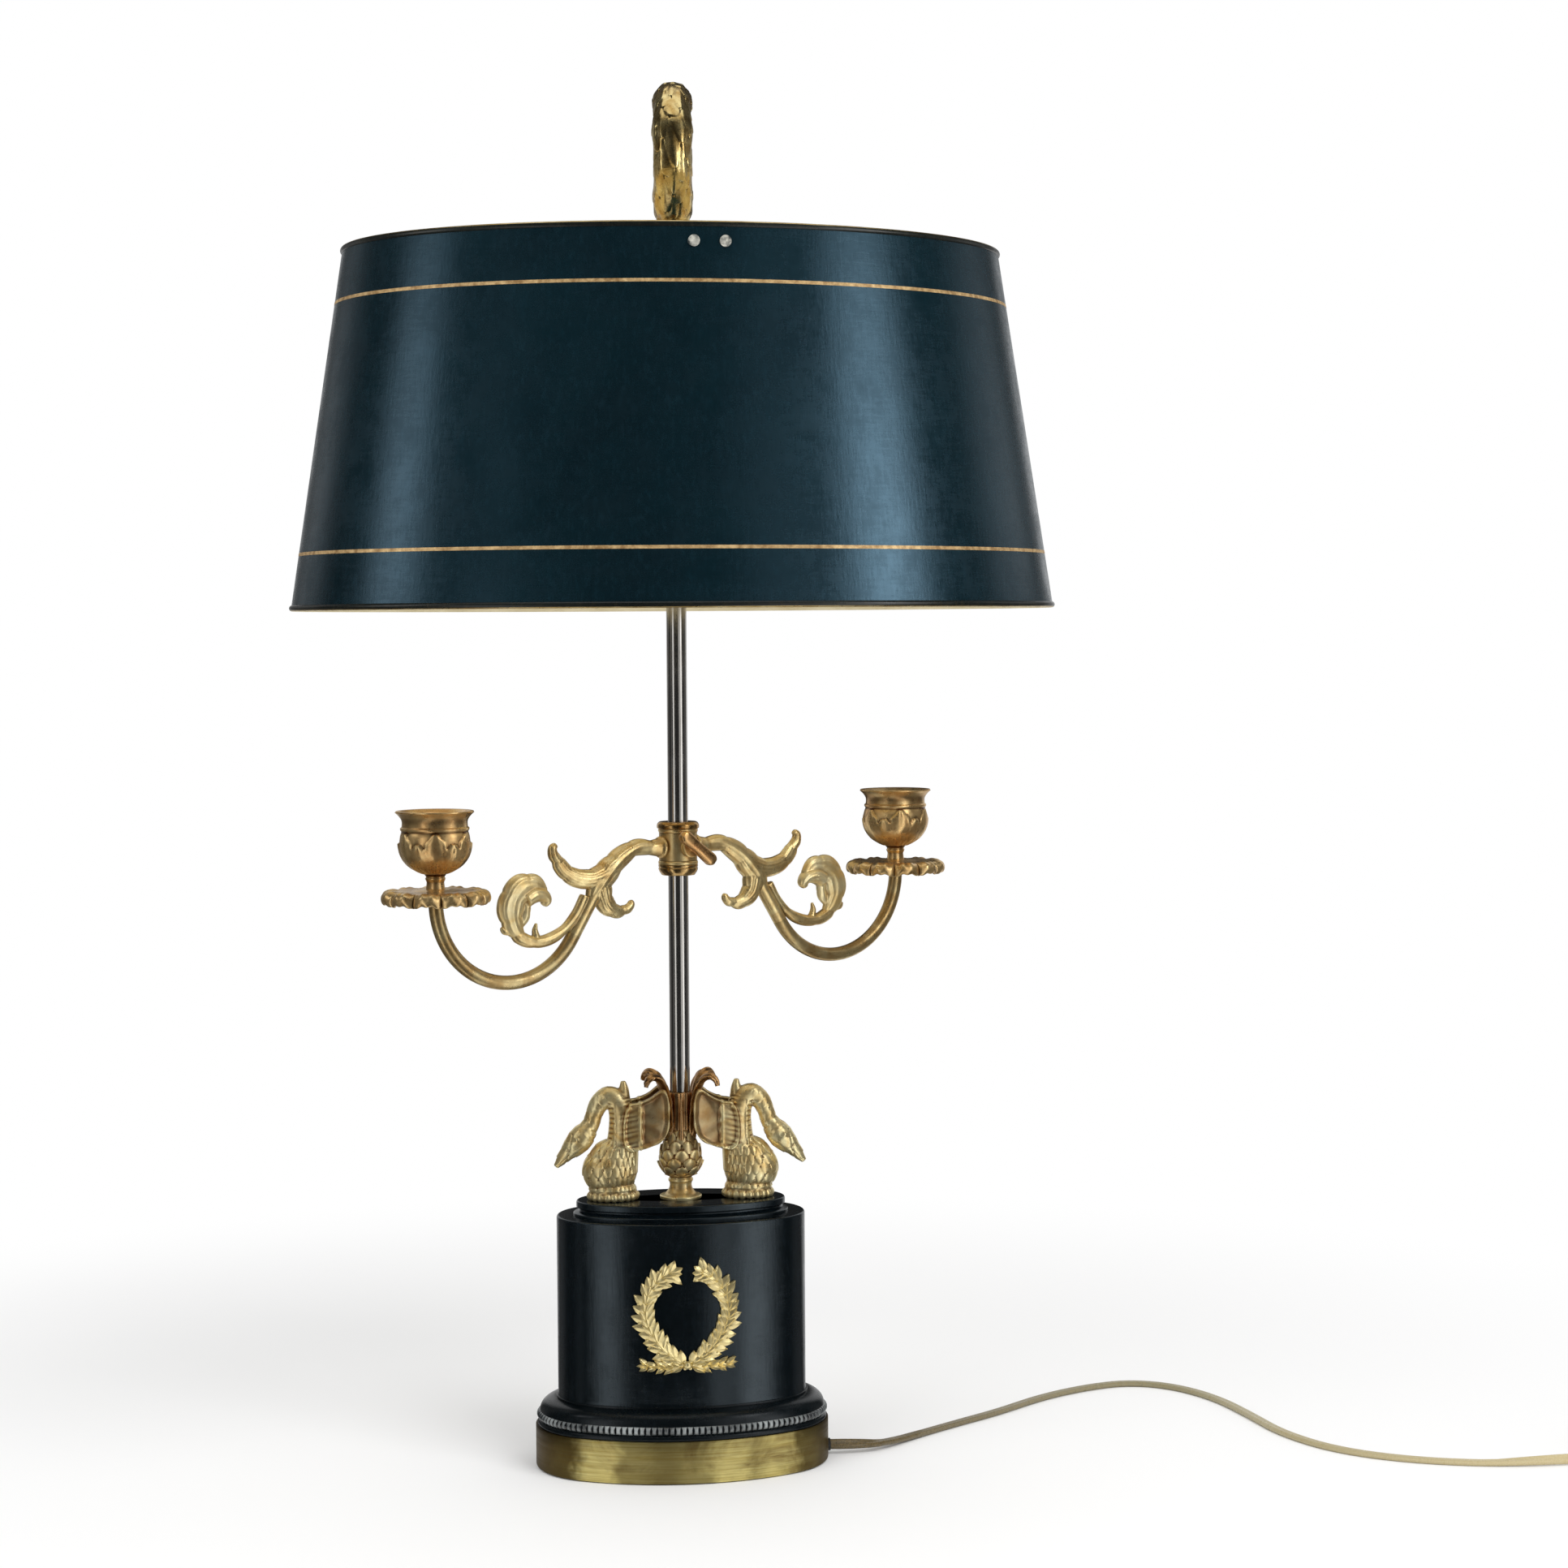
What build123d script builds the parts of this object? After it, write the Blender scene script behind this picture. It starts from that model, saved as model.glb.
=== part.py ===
from build123d import *
import os
from math import asin, atan2, cos, degrees, hypot, pi, radians, sin, tan

os.makedirs("parts", exist_ok=True)

# Bouillotte lamp, millimetres. Z is up, X runs along the oval pedestal, -Y is its front.
# The origin is on the table, under the rod.

# ---------------------------------------------------------------- fits and clearances
RUN_FIT = 0.05  # radial play of everything that turns or slides on a shaft
SEAT_FIT = 0.15  # radial play of pieces that are only assembled
FACE_PLAY = 0.1  # axial play between a moving face and its seat
CLEAR = 0.3  # between bodies that pass each other

# ---------------------------------------------------------------- oval pedestal
# Every plan is parallel to one four-centred oval, so its end radius alone sets its size.
OVAL_END_CENTRE = 36.4
OVAL_FRONT_CENTRE = 69.0
OVAL_SIDE = hypot(OVAL_END_CENTRE, OVAL_FRONT_CENTRE)
BAND_END_R = 37.3
BAND_WALL = 1.6
BAND_LIFT = 0.4
BAND_TOP = 21.5
BEAD_END_R = BAND_END_R - 0.3
BEAD_H = 3.6
MOULDING_END_R = BEAD_END_R - 1.2
MOULDING_TOP = 36.0
BODY_END_R = MOULDING_END_R - 9.8
BODY_WALL = 2.5
BODY_TOP = 126.4
PLINTH_END_R = BODY_END_R - 9.9
PLINTH_TOP = 133.7
PLINTH_EDGE_R = 1.2
FELT_T = 2.0
BALLAST_BOSS_H = 9.5
BALLAST_BOSS_PLAY = 1.5
BALLAST_WELL_R = 14.0
BALLAST_WELL_H = 20.0

# ---------------------------------------------------------------- rod
ROD_R = 5.0
ROD_BORE_R = 2.8
SPIGOT_R = 4.0
ROD_FOOT_Z = 14.2
ROD_TOP_Z = 614.5
ROD_STUD_H = 7.0
NUT_H = 5.0
NUT_FLATS = 15.0
WASHER_T = 1.6
WASHER_R = 12.0
FLEX_R = 2.3
FLEX_BEND = 9.0
FLEX_SPLIT_H = 6.0  # flex end above the leads that branch from it
LEAD_R = 1.5

# ---------------------------------------------------------------- ornaments on the plinth
CONE_TOP = 168.0
COLUMN_R = 6.4
COLUMN_TOP = 187.0
CROWN_LEAF_ANGLES = (35, 145, 215, 325)
CROWN_LEAF_W = 8.0
CROWN_LEAF_T = 2.0
CROWN_CURL_X = 14.0
CROWN_CURL_R = 8.5
CROWN_TIP_ANGLE = 5.0
CROWN_CURL_ANGLE = 205.0
CROWN_COLLAR_R = 8.8
CROWN_COLLAR_H = 3.5
SWAN_X = 34.5
SWAN_FOOT_H = 4.0
SWAN_SCREW_R = 2.0
SWAN_SCREW_GRIP = 6.0
SWAN_SCREW_HEAD_H = 2.6
SWAN_FOOT_HALF = (13.0, 9.0)
SWAN_BREAST_HALF = (13.5, 10.5, 14.0)
SWAN_BREAST_RISE = 16.0
SWAN_NECK_R = 3.6
SWAN_CROOK_R = 7.6
SWAN_HEAD_R = 4.6
SWAN_BILL_R = 3.4
SWAN_BILL_L = 12.6
WING_SPREAD = 6.5
SWAN_WING_T = 2.4
WREATH_Z = 81.4
WREATH_R = 26.0
WREATH_HOLE_R = 16.0
WREATH_GAP = 4.0
WREATH_T = 3.6
WREATH_SPRAY_H = 6.5
WREATH_PIN_X = 20.5
WREATH_PIN_R = 1.0

# ---------------------------------------------------------------- candle arms
ARM_TURN = 31.0  # rest turn of the arms about the rod, from +X
SLEEVE_R = 7.2
SLEEVE_LIP_R = 10.5
SLEEVE_LIP_H = 3.5
RING_NUT_H = 5.4
RING_NUT_WALL = 1.4
HUB_R = 9.9
ARM_Z = 310.5
SLEEVE_BOTTOM = ARM_Z - 14.3
SLEEVE_TOP = ARM_Z + 12.5
ARM_TUBE_R = 3.5
ARM_ROOT_R = 6.0
ARM_ROOT_L = 4.5
ARM_ROOT_TAPER = 22.0
ARM_ROOT_SINK = 1.0  # arm's root inside the hub's round, cut away with it
ARM_SHOULDER_X = 24.0
ARM_SHOULDER_R = 24.0
ARM_RUN = 75.0  # level distance from the shoulder arc's centre to the bowl arc's
ARM_BOWL_R = 41.5
ARM_REACH = ARM_SHOULDER_X + ARM_RUN + ARM_BOWL_R
PAN_DROP = 19.5  # pan's seat below the arm's root
PAN_Z = ARM_Z - PAN_DROP
PAN_R = 26.5
PAN_T = 1.2
PAN_CROWN = 6.0
ARM_STUD_R = 2.4
ARM_STUD_H = 6.0
UP_LEAF_W = 9.0
DOWN_LEAF_W = 8.0
SCROLL_W = 6.0
CUP_FOOT_Z = PAN_Z + PAN_CROWN
CUP_H = 37.0
CUP_TOP = CUP_FOOT_Z + CUP_H
CUP_LIP_R = 18.4
CANDLE_R = 11.0
CANDLE_DEPTH = 25.0
CUP_MOUTH_H = 4.5

# ---------------------------------------------------------------- thumbscrews
SCREW_R = 2.25
SCREW_SHOULDER_R = 3.4
WING_L = 25.0
WING_W = 6.6
WING_T = 5.2
WING_X = 17.0
BOSS_X = 12.4
BOSS_R = 5.0
WING_TURN = -38.0  # rest turn of the wing about its stem

# ---------------------------------------------------------------- shade
# The shade hangs from the rod's top, and its slider and the lamps under it keep their places in it.
SHADE_TURN = 3.5
SHADE_DROP = 9.5  # shade's top edge below the finial's seat
SHADE_H = 176.5
SHADE_TOP = ROD_TOP_Z - SHADE_DROP
SHADE_BOTTOM = SHADE_TOP - SHADE_H
SHADE_BOTTOM_X = 190.0
SHADE_BOTTOM_Y = 146.0
SHADE_TOP_X = 163.5
SHADE_TOP_Y = 121.0
SHADE_WALL = 1.0
RIM_H = 3.0
RIM_LEDGE = 1.0
SPIDER_W = 22.0
SPIDER_T = 2.0
SPIDER_TAB_H = 13.0
RIVET_R = 1.5
RIVET_HEAD_R = 2.7
RIVET_HEAD_H = 1.1
RIVET_PITCH = 14.6
RIVET_DROP = 9.4
SLIDER_R = 9.0
SLIDER_SHOULDER = SHADE_TOP - 9.0
SLIDER_L = 22.0
SLIDER_BOTTOM = SLIDER_SHOULDER - SLIDER_L
SLIDER_SCREW_Z = SLIDER_SHOULDER - SLIDER_L / 2
SLIDER_SCREW_TURN = -90.0
SLIDER_NUT_H = 3.0
SPIDER_HUB_R = 10.0
SPIDER_HUB_H = 5.0

# ---------------------------------------------------------------- lamp cluster
CLUSTER_Z = SHADE_BOTTOM + 37.5
CLUSTER_R = 17.0
CLUSTER_H = 22.0
CLUSTER_EDGE_R = 3.0
CLUSTER_TUBE_R = 4.5
HOLDER_X = 52.0
HOLDER_R = 15.0
HOLDER_H = 40.0
HOLDER_FLOOR = 16.0
HOLDER_RISE = 2.0  # holder's seat above the cluster's middle
HOLDER_WALL = 1.2
CAP_R = 13.0
CAP_H = 20.0
BULB_R = 24.0
BULB_NECK_R = 13.5
BULB_NECK_H = 4.5
BULB_H = 62.0
KNOB_R = 6.5
KNOB_L = 9.0
KNOB_SHAFT_R = 2.5
KNOB_SHAFT_L = 7.0

# ---------------------------------------------------------------- ring finial
FINIAL_TURN = -4.5
RING_MEAN_R = 26.0
RING_TUBE_R = 9.75
RING_Z = ROD_TOP_Z + 37.9
FINIAL_NECK_R = 7.5

# ---------------------------------------------------------------- cord
CORD_R = 2.6
CORD_Z = 5.4
GROMMET_R = 3.2
GROMMET_L = 9.0
GROMMET_PROUD = 1.2
CORD_EXIT_X = OVAL_END_CENTRE + BAND_END_R + GROMMET_PROUD
# Free run of the cord over the table, from the grommet to the coil.
CORD_ROUTE = [
    (CORD_EXIT_X, 0.0, CORD_Z),
    (90.5, 0.0, CORD_Z),
    (104.5, 7.8, 4.0),
    (126.0, 29.0, CORD_R),
    (150.0, 48.5, CORD_R),
    (174.0, 67.0, CORD_R),
    (202.0, 94.0, CORD_R),
    (231.0, 112.0, CORD_R),
    (256.0, 119.5, CORD_R),
    (279.0, 108.0, CORD_R),
    (296.0, 79.0, CORD_R),
    (304.5, 42.0, CORD_R),
    (311.5, 3.0, CORD_R),
    (331.0, -33.0, CORD_R),
    (367.0, -57.0, CORD_R),
    (413.0, -68.0, CORD_R),
    (456.0, -67.5, CORD_R),
    (495.5, -66.2, CORD_R),
]
COIL_CENTRE = (492.5, -37.6)
COIL_OUT_R = 32.0
COIL_IN_R = 19.5
COIL_H = 10.8
TAIL_L = 30.0
PLUG_L = 28.0
PLUG_W = 22.0
PLUG_H = 13.0
PLUG_CORNER_R = 4.0
PLUG_EDGE_R = 3.0
BLADE_L = 17.0
BLADE_W = 6.35
BLADE_T = 1.5
BLADE_PITCH = 12.7


def draw_oval(end_radius, mode=Mode.ADD):
    """Oval of four tangent arcs, in the sketch that calls it."""
    side_radius = end_radius + OVAL_SIDE
    lean = degrees(atan2(OVAL_FRONT_CENTRE, OVAL_END_CENTRE))
    with BuildLine() as outline:
        CenterArc((OVAL_END_CENTRE, 0), end_radius, -lean, 2 * lean)
        CenterArc((0, -OVAL_FRONT_CENTRE), side_radius, lean, 180 - 2 * lean)
        CenterArc((-OVAL_END_CENTRE, 0), end_radius, 180 - lean, 2 * lean)
        CenterArc((0, OVAL_FRONT_CENTRE), side_radius, 180 + lean, 180 - 2 * lean)
    make_face(outline.edges(), mode=mode)


def oval_half_length(end_radius):
    """Half of an oval's size along X."""
    return OVAL_END_CENTRE + end_radius


def oval_half_depth(end_radius):
    """Half of an oval's size along Y."""
    return end_radius + OVAL_SIDE - OVAL_FRONT_CENTRE


def turned(*points):
    """Solid of revolution about Z, from (radius, height) corners, in the part that calls it."""
    with BuildSketch(Plane.XZ) as profile:
        with BuildLine() as outline:
            Polyline(*points, close=True)
        make_face(outline.edges())
    revolve(profile.sketch, axis=Axis.Z)


def drill_z(radius, bottom, top, x=0, y=0):
    """Vertical round hole, in the part that calls it."""
    with BuildSketch(Plane.XY.offset(bottom)) as hole:
        with Locations((x, y)):
            Circle(radius)
    extrude(hole.sketch, amount=top - bottom, mode=Mode.SUBTRACT)


def drill_x(radius, start, length, z, y=0):
    """Hole along X, in the part that calls it."""
    with BuildSketch(Plane.YZ.offset(start)) as hole:
        with Locations((y, z)):
            Circle(radius)
    extrude(hole.sketch, amount=length, mode=Mode.SUBTRACT)


# ================================================================ pedestal
band_inner_r = BAND_END_R - BAND_WALL
inside_r = band_inner_r - SEAT_FIT

with BuildPart() as felt_pad:
    with BuildSketch():
        draw_oval(inside_r)
    extrude(amount=FELT_T)
felt_pad.part.label = "felt_pad"
export_step(felt_pad.part, "parts/felt_pad.step")

with BuildPart() as base_band:
    with BuildSketch(Plane.XY.offset(BAND_LIFT)):
        draw_oval(BAND_END_R)
    extrude(amount=BAND_TOP - BAND_LIFT)
    fillet(base_band.faces().sort_by(Axis.Z)[0].edges(), 0.7 * BAND_WALL)
    with BuildSketch(Plane.XY):
        draw_oval(band_inner_r)
    extrude(amount=BAND_TOP, mode=Mode.SUBTRACT)
    drill_x(GROMMET_R, oval_half_length(band_inner_r) - BAND_WALL, 4 * BAND_WALL, CORD_Z)
base_band.part.label = "base_band"
export_step(base_band.part, "parts/base_band.step")

boss_end_r = BODY_END_R - BODY_WALL - BALLAST_BOSS_PLAY
ballast_top = BAND_TOP + BALLAST_BOSS_H
with BuildPart() as ballast:
    with BuildSketch(Plane.XY.offset(FELT_T)):
        draw_oval(inside_r)
    extrude(amount=BAND_TOP - FELT_T)
    with BuildSketch(Plane.XY.offset(BAND_TOP)):
        draw_oval(boss_end_r)
    extrude(amount=BALLAST_BOSS_H)
    drill_z(BALLAST_WELL_R, FELT_T, FELT_T + BALLAST_WELL_H)
    drill_z(SPIGOT_R + SEAT_FIT, FELT_T, ballast_top)
    slot_top = CORD_Z + GROMMET_R + SEAT_FIT
    with BuildSketch(Plane.XY.offset(FELT_T)):
        with Locations((oval_half_length(inside_r) / 2, 0)):
            Rectangle(oval_half_length(inside_r), 2 * (GROMMET_R + SEAT_FIT))
    extrude(amount=slot_top - FELT_T, mode=Mode.SUBTRACT)
ballast.part.label = "ballast"
export_step(ballast.part, "parts/ballast.step")

with BuildPart() as gadroon_moulding:
    with BuildSketch(Plane.XY.offset(BAND_TOP)):
        draw_oval(BEAD_END_R)
    extrude(amount=BEAD_H)
    fillet(gadroon_moulding.edges().filter_by(GeomType.CIRCLE), 0.48 * BEAD_H)
    with BuildSketch(Plane.XY.offset(BAND_TOP + BEAD_H / 2)):
        draw_oval(MOULDING_END_R)
    extrude(amount=MOULDING_TOP - BAND_TOP - BEAD_H / 2)
    fillet(
        gadroon_moulding.faces().sort_by(Axis.Z)[-1].edges(),
        MOULDING_END_R - BODY_END_R - SEAT_FIT,
    )
    with BuildSketch(Plane.XY.offset(BAND_TOP)):
        draw_oval(boss_end_r + CLEAR)
    extrude(amount=MOULDING_TOP - BAND_TOP, mode=Mode.SUBTRACT)
gadroon_moulding.part.label = "gadroon_moulding"
export_step(gadroon_moulding.part, "parts/gadroon_moulding.step")

front_y = -oval_half_depth(BODY_END_R)
with BuildPart() as pedestal_body:
    with BuildSketch(Plane.XY.offset(MOULDING_TOP)):
        draw_oval(BODY_END_R)
    extrude(amount=BODY_TOP - MOULDING_TOP)
    fillet(pedestal_body.faces().sort_by(Axis.Z)[-1].edges(), 0.8 * BODY_WALL)
    with BuildSketch(Plane.XY.offset(MOULDING_TOP)):
        draw_oval(BODY_END_R - BODY_WALL)
    extrude(amount=BODY_TOP - BODY_WALL - MOULDING_TOP, mode=Mode.SUBTRACT)
    drill_z(SPIGOT_R + SEAT_FIT, BODY_TOP - BODY_WALL, BODY_TOP)
    for side in (-1, 1):
        drill_z(SWAN_SCREW_R + SEAT_FIT, BODY_TOP - BODY_WALL, BODY_TOP, x=side * SWAN_X)
    with BuildSketch(Plane.XZ.offset(-front_y + BODY_WALL)):
        with Locations((-WREATH_PIN_X, WREATH_Z), (WREATH_PIN_X, WREATH_Z)):
            Circle(WREATH_PIN_R + SEAT_FIT)
    extrude(amount=-5 * BODY_WALL, mode=Mode.SUBTRACT)
pedestal_body.part.label = "pedestal_body"
export_step(pedestal_body.part, "parts/pedestal_body.step")

with BuildPart() as plinth_cap:
    with BuildSketch(Plane.XY.offset(BODY_TOP)):
        draw_oval(PLINTH_END_R)
    extrude(amount=PLINTH_TOP - BODY_TOP)
    fillet(plinth_cap.faces().sort_by(Axis.Z)[-1].edges(), PLINTH_EDGE_R)
    drill_z(SPIGOT_R + SEAT_FIT, BODY_TOP, PLINTH_TOP)
    for side in (-1, 1):
        drill_z(SWAN_SCREW_R + SEAT_FIT, BODY_TOP, PLINTH_TOP, x=side * SWAN_X)
plinth_cap.part.label = "plinth_cap"
export_step(plinth_cap.part, "parts/plinth_cap.step")

# Laurel wreath, bent to the pedestal's front, with two pins through the wall.
with BuildPart() as wreath_mount:
    with BuildSketch(Plane.XZ):
        with Locations((0, WREATH_Z)):
            Circle(WREATH_R)
            Circle(WREATH_HOLE_R, mode=Mode.SUBTRACT)
        with Locations((0, WREATH_Z + WREATH_R)):
            Rectangle(WREATH_GAP, WREATH_R, mode=Mode.SUBTRACT)
        with Locations((0, WREATH_Z - WREATH_R + WREATH_SPRAY_H / 2 - 0.75)):
            SlotOverall(2 * WREATH_R - 2, WREATH_SPRAY_H)
    extrude(amount=-2 * front_y)
    with BuildSketch(Plane.XY):
        draw_oval(BODY_END_R + WREATH_T)
        draw_oval(BODY_END_R, mode=Mode.SUBTRACT)
    extrude(amount=BODY_TOP, mode=Mode.INTERSECT)
wreath_mount.part.label = "wreath_mount"
export_step(wreath_mount.part, "parts/wreath_mount.step")

with BuildPart() as wreath_pins:
    with BuildSketch(Plane.XZ.offset(-front_y - 4 * BODY_WALL)):
        with Locations((-WREATH_PIN_X, WREATH_Z), (WREATH_PIN_X, WREATH_Z)):
            Circle(WREATH_PIN_R)
    extrude(amount=4 * BODY_WALL)
    with BuildSketch(Plane.XY):
        draw_oval(BODY_END_R)
        draw_oval(BODY_END_R - BODY_WALL - 2, mode=Mode.SUBTRACT)
    extrude(amount=BODY_TOP, mode=Mode.INTERSECT)
wreath_pins.part.label = "wreath_pins"
export_step(wreath_pins.part, "parts/wreath_pins.step")

# ================================================================ rod and what clamps it
with BuildPart() as rod:
    with BuildSketch(Plane.XY.offset(ROD_FOOT_Z)):
        Circle(SPIGOT_R)
    extrude(amount=ROD_TOP_Z + ROD_STUD_H - ROD_FOOT_Z)
    with BuildSketch(Plane.XY.offset(COLUMN_TOP)):
        Circle(ROD_R)
    extrude(amount=ROD_TOP_Z - COLUMN_TOP)
    drill_z(ROD_BORE_R, ROD_FOOT_Z, ROD_TOP_Z + ROD_STUD_H)
    drill_x(LEAD_R + SEAT_FIT, -ROD_R, 2 * ROD_R, CLUSTER_Z)
rod.part.label = "rod"
export_step(rod.part, "parts/rod.step")

well_top = FELT_T + BALLAST_WELL_H
with BuildPart() as rod_washer:
    with BuildSketch(Plane.XY.offset(well_top - WASHER_T)):
        Circle(WASHER_R)
        Circle(SPIGOT_R + SEAT_FIT, mode=Mode.SUBTRACT)
    extrude(amount=WASHER_T)
rod_washer.part.label = "rod_washer"
export_step(rod_washer.part, "parts/rod_washer.step")

with BuildPart() as rod_nut:
    with BuildSketch(Plane.XY.offset(well_top - WASHER_T - NUT_H)):
        RegularPolygon(NUT_FLATS / 2, 6, major_radius=False)
        Circle(SPIGOT_R + RUN_FIT, mode=Mode.SUBTRACT)
    extrude(amount=NUT_H)
rod_nut.part.label = "rod_nut"
export_step(rod_nut.part, "parts/rod_nut.step")

# Flex inside the base and up the rod, ending where the leads branch off.
flex_start = oval_half_length(band_inner_r) - GROMMET_L
with BuildPart() as inner_flex:
    with BuildLine(Plane.XZ) as flex_path:
        floor_run = Line((flex_start, CORD_Z), (FLEX_BEND, CORD_Z))
        elbow = JernArc(start=floor_run @ 1, tangent=floor_run % 1, radius=FLEX_BEND, arc_size=-90)
        Line(elbow @ 1, (0, CLUSTER_Z + FLEX_SPLIT_H))
    with BuildSketch(Plane(flex_path.line @ 0, z_dir=flex_path.line % 0)):
        Circle(FLEX_R)
    sweep()
inner_flex.part.label = "inner_flex"
export_step(inner_flex.part, "parts/inner_flex.step")

# ================================================================ ornaments on the plinth
with BuildPart() as pinecone_foot:
    with BuildSketch(Plane.XZ):
        with BuildLine():
            Polyline(
                (SPIGOT_R + SEAT_FIT, PLINTH_TOP),
                (6.4, PLINTH_TOP),
                (6.8, PLINTH_TOP + 2.6),
                (10.4, PLINTH_TOP + 4.0),
                (10.8, PLINTH_TOP + 5.6),
                (10.2, PLINTH_TOP + 7.2),
                (6.0, PLINTH_TOP + 8.6),
                (5.6, PLINTH_TOP + 12.0),
                (8.6, PLINTH_TOP + 14.0),
            )
            ThreePointArc((8.6, PLINTH_TOP + 14.0), (10.5, PLINTH_TOP + 19.5), (5.4, CONE_TOP))
            Polyline(
                (5.4, CONE_TOP),
                (SPIGOT_R + SEAT_FIT, CONE_TOP),
                (SPIGOT_R + SEAT_FIT, PLINTH_TOP),
            )
        make_face()
    revolve(axis=Axis.Z)
pinecone_foot.part.label = "pinecone_foot"
export_step(pinecone_foot.part, "parts/pinecone_foot.step")

with BuildPart() as crown_leaves:
    with BuildSketch(Plane.XY.offset(CONE_TOP)):
        Circle(COLUMN_R)
        Circle(SPIGOT_R + SEAT_FIT, mode=Mode.SUBTRACT)
    extrude(amount=COLUMN_TOP - CONE_TOP)
    with BuildSketch(Plane.XY.offset(COLUMN_TOP - CROWN_COLLAR_H)):
        Circle(CROWN_COLLAR_R)
        Circle(SPIGOT_R + SEAT_FIT, mode=Mode.SUBTRACT)
    extrude(amount=CROWN_COLLAR_H)
    curl_centre = (CROWN_CURL_X, COLUMN_TOP + CROWN_COLLAR_H)
    for angle in CROWN_LEAF_ANGLES:
        with BuildSketch(Plane.XZ.rotated((0, 0, angle))):
            with BuildLine():
                back = CenterArc(curl_centre, CROWN_CURL_R, CROWN_TIP_ANGLE, CROWN_CURL_ANGLE)
                face = CenterArc(
                    curl_centre, CROWN_CURL_R - CROWN_LEAF_T, CROWN_TIP_ANGLE, CROWN_CURL_ANGLE
                )
                Line(back @ 0, face @ 0)
                Line(back @ 1, face @ 1)
            make_face()
        extrude(amount=CROWN_LEAF_W / 2, both=True)
    drill_z(ROD_R + SEAT_FIT, COLUMN_TOP, COLUMN_TOP + 2 * CROWN_CURL_R)
crown_leaves.part.label = "crown_leaves"
export_step(crown_leaves.part, "parts/crown_leaves.step")

# Swan, seen from the front, facing +X; the other one is its mirror image.
with BuildPart() as swan_pattern:
    Sphere(1)
    scale(by=SWAN_BREAST_HALF)
swan_breast = Pos(SWAN_X + 2.0, 0, PLINTH_TOP + SWAN_BREAST_RISE) * swan_pattern.part

wing_root_x = SWAN_X - 9.0
with BuildPart() as swan_right:
    with BuildSketch(Plane.XY.offset(PLINTH_TOP)):
        with Locations((SWAN_X, 0)):
            Ellipse(*SWAN_FOOT_HALF)
    extrude(amount=SWAN_FOOT_H)
    add(swan_breast)
    with Locations((SWAN_X - 5.0, 0, PLINTH_TOP + 34.0)):
        Cone(8.0, 4.0, 20.0)
    with BuildLine(Plane.XZ) as neck_path:
        rise = Line((SWAN_X - 7.0, PLINTH_TOP + 26), (SWAN_X - 7.0, PLINTH_TOP + 43.5))
        crook = JernArc(start=rise @ 1, tangent=rise % 1, radius=SWAN_CROOK_R, arc_size=-160)
        JernArc(start=crook @ 1, tangent=crook % 1, radius=22, arc_size=28)
    with BuildSketch(Plane(neck_path.line @ 0, z_dir=neck_path.line % 0)):
        Circle(SWAN_NECK_R)
    sweep()
    head = neck_path.line @ 1
    with Locations(head + Vector(1.0, 0, -3.2)):
        Sphere(SWAN_HEAD_R)
    with BuildSketch(Plane(head + Vector(1.8, 0, -3.6), z_dir=(0.72, 0, -0.69))):
        Circle(SWAN_BILL_R)
    extrude(amount=SWAN_BILL_L, taper=13.5)
    for wing_side in (-1, 1):
        with BuildSketch(Plane.XZ.offset(wing_side * WING_SPREAD)):
            with BuildLine():
                Line(
                    (wing_root_x, PLINTH_TOP + 18),
                    (wing_root_x, PLINTH_TOP + 49),
                )
                ThreePointArc(
                    (wing_root_x, PLINTH_TOP + 49),
                    (wing_root_x - 10, PLINTH_TOP + 53.5),
                    (wing_root_x - 17, PLINTH_TOP + 42),
                )
                ThreePointArc(
                    (wing_root_x - 17, PLINTH_TOP + 42),
                    (wing_root_x - 13, PLINTH_TOP + 32),
                    (wing_root_x, PLINTH_TOP + 18),
                )
            make_face()
        extrude(amount=SWAN_WING_T / 2, both=True)
    drill_z(SWAN_SCREW_R + RUN_FIT, PLINTH_TOP, PLINTH_TOP + SWAN_SCREW_GRIP, x=SWAN_X)
swan_right.part.label = "swan_right"
export_step(swan_right.part, "parts/swan_right.step")

with BuildPart() as swan_left:
    add(swan_right.part.mirror(Plane.YZ))
swan_left.part.label = "swan_left"
export_step(swan_left.part, "parts/swan_left.step")

deck_z = BODY_TOP - BODY_WALL
with BuildPart() as swan_screws:
    with BuildSketch(Plane.XY.offset(deck_z - SWAN_SCREW_HEAD_H)):
        with Locations((-SWAN_X, 0), (SWAN_X, 0)):
            Circle(2 * SWAN_SCREW_R)
    extrude(amount=SWAN_SCREW_HEAD_H)
    with BuildSketch(Plane.XY.offset(deck_z)):
        with Locations((-SWAN_X, 0), (SWAN_X, 0)):
            Circle(SWAN_SCREW_R)
    extrude(amount=PLINTH_TOP + SWAN_SCREW_GRIP - CLEAR - deck_z)
swan_screws.part.label = "swan_screws"
export_step(swan_screws.part, "parts/swan_screws.step")

# ================================================================ candle arms
# The sleeve slides on the rod, and the hub with both arms turns on the sleeve.
hub_bottom = SLEEVE_BOTTOM + RING_NUT_H + FACE_PLAY
hub_top = SLEEVE_TOP - SLEEVE_LIP_H - FACE_PLAY

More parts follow.
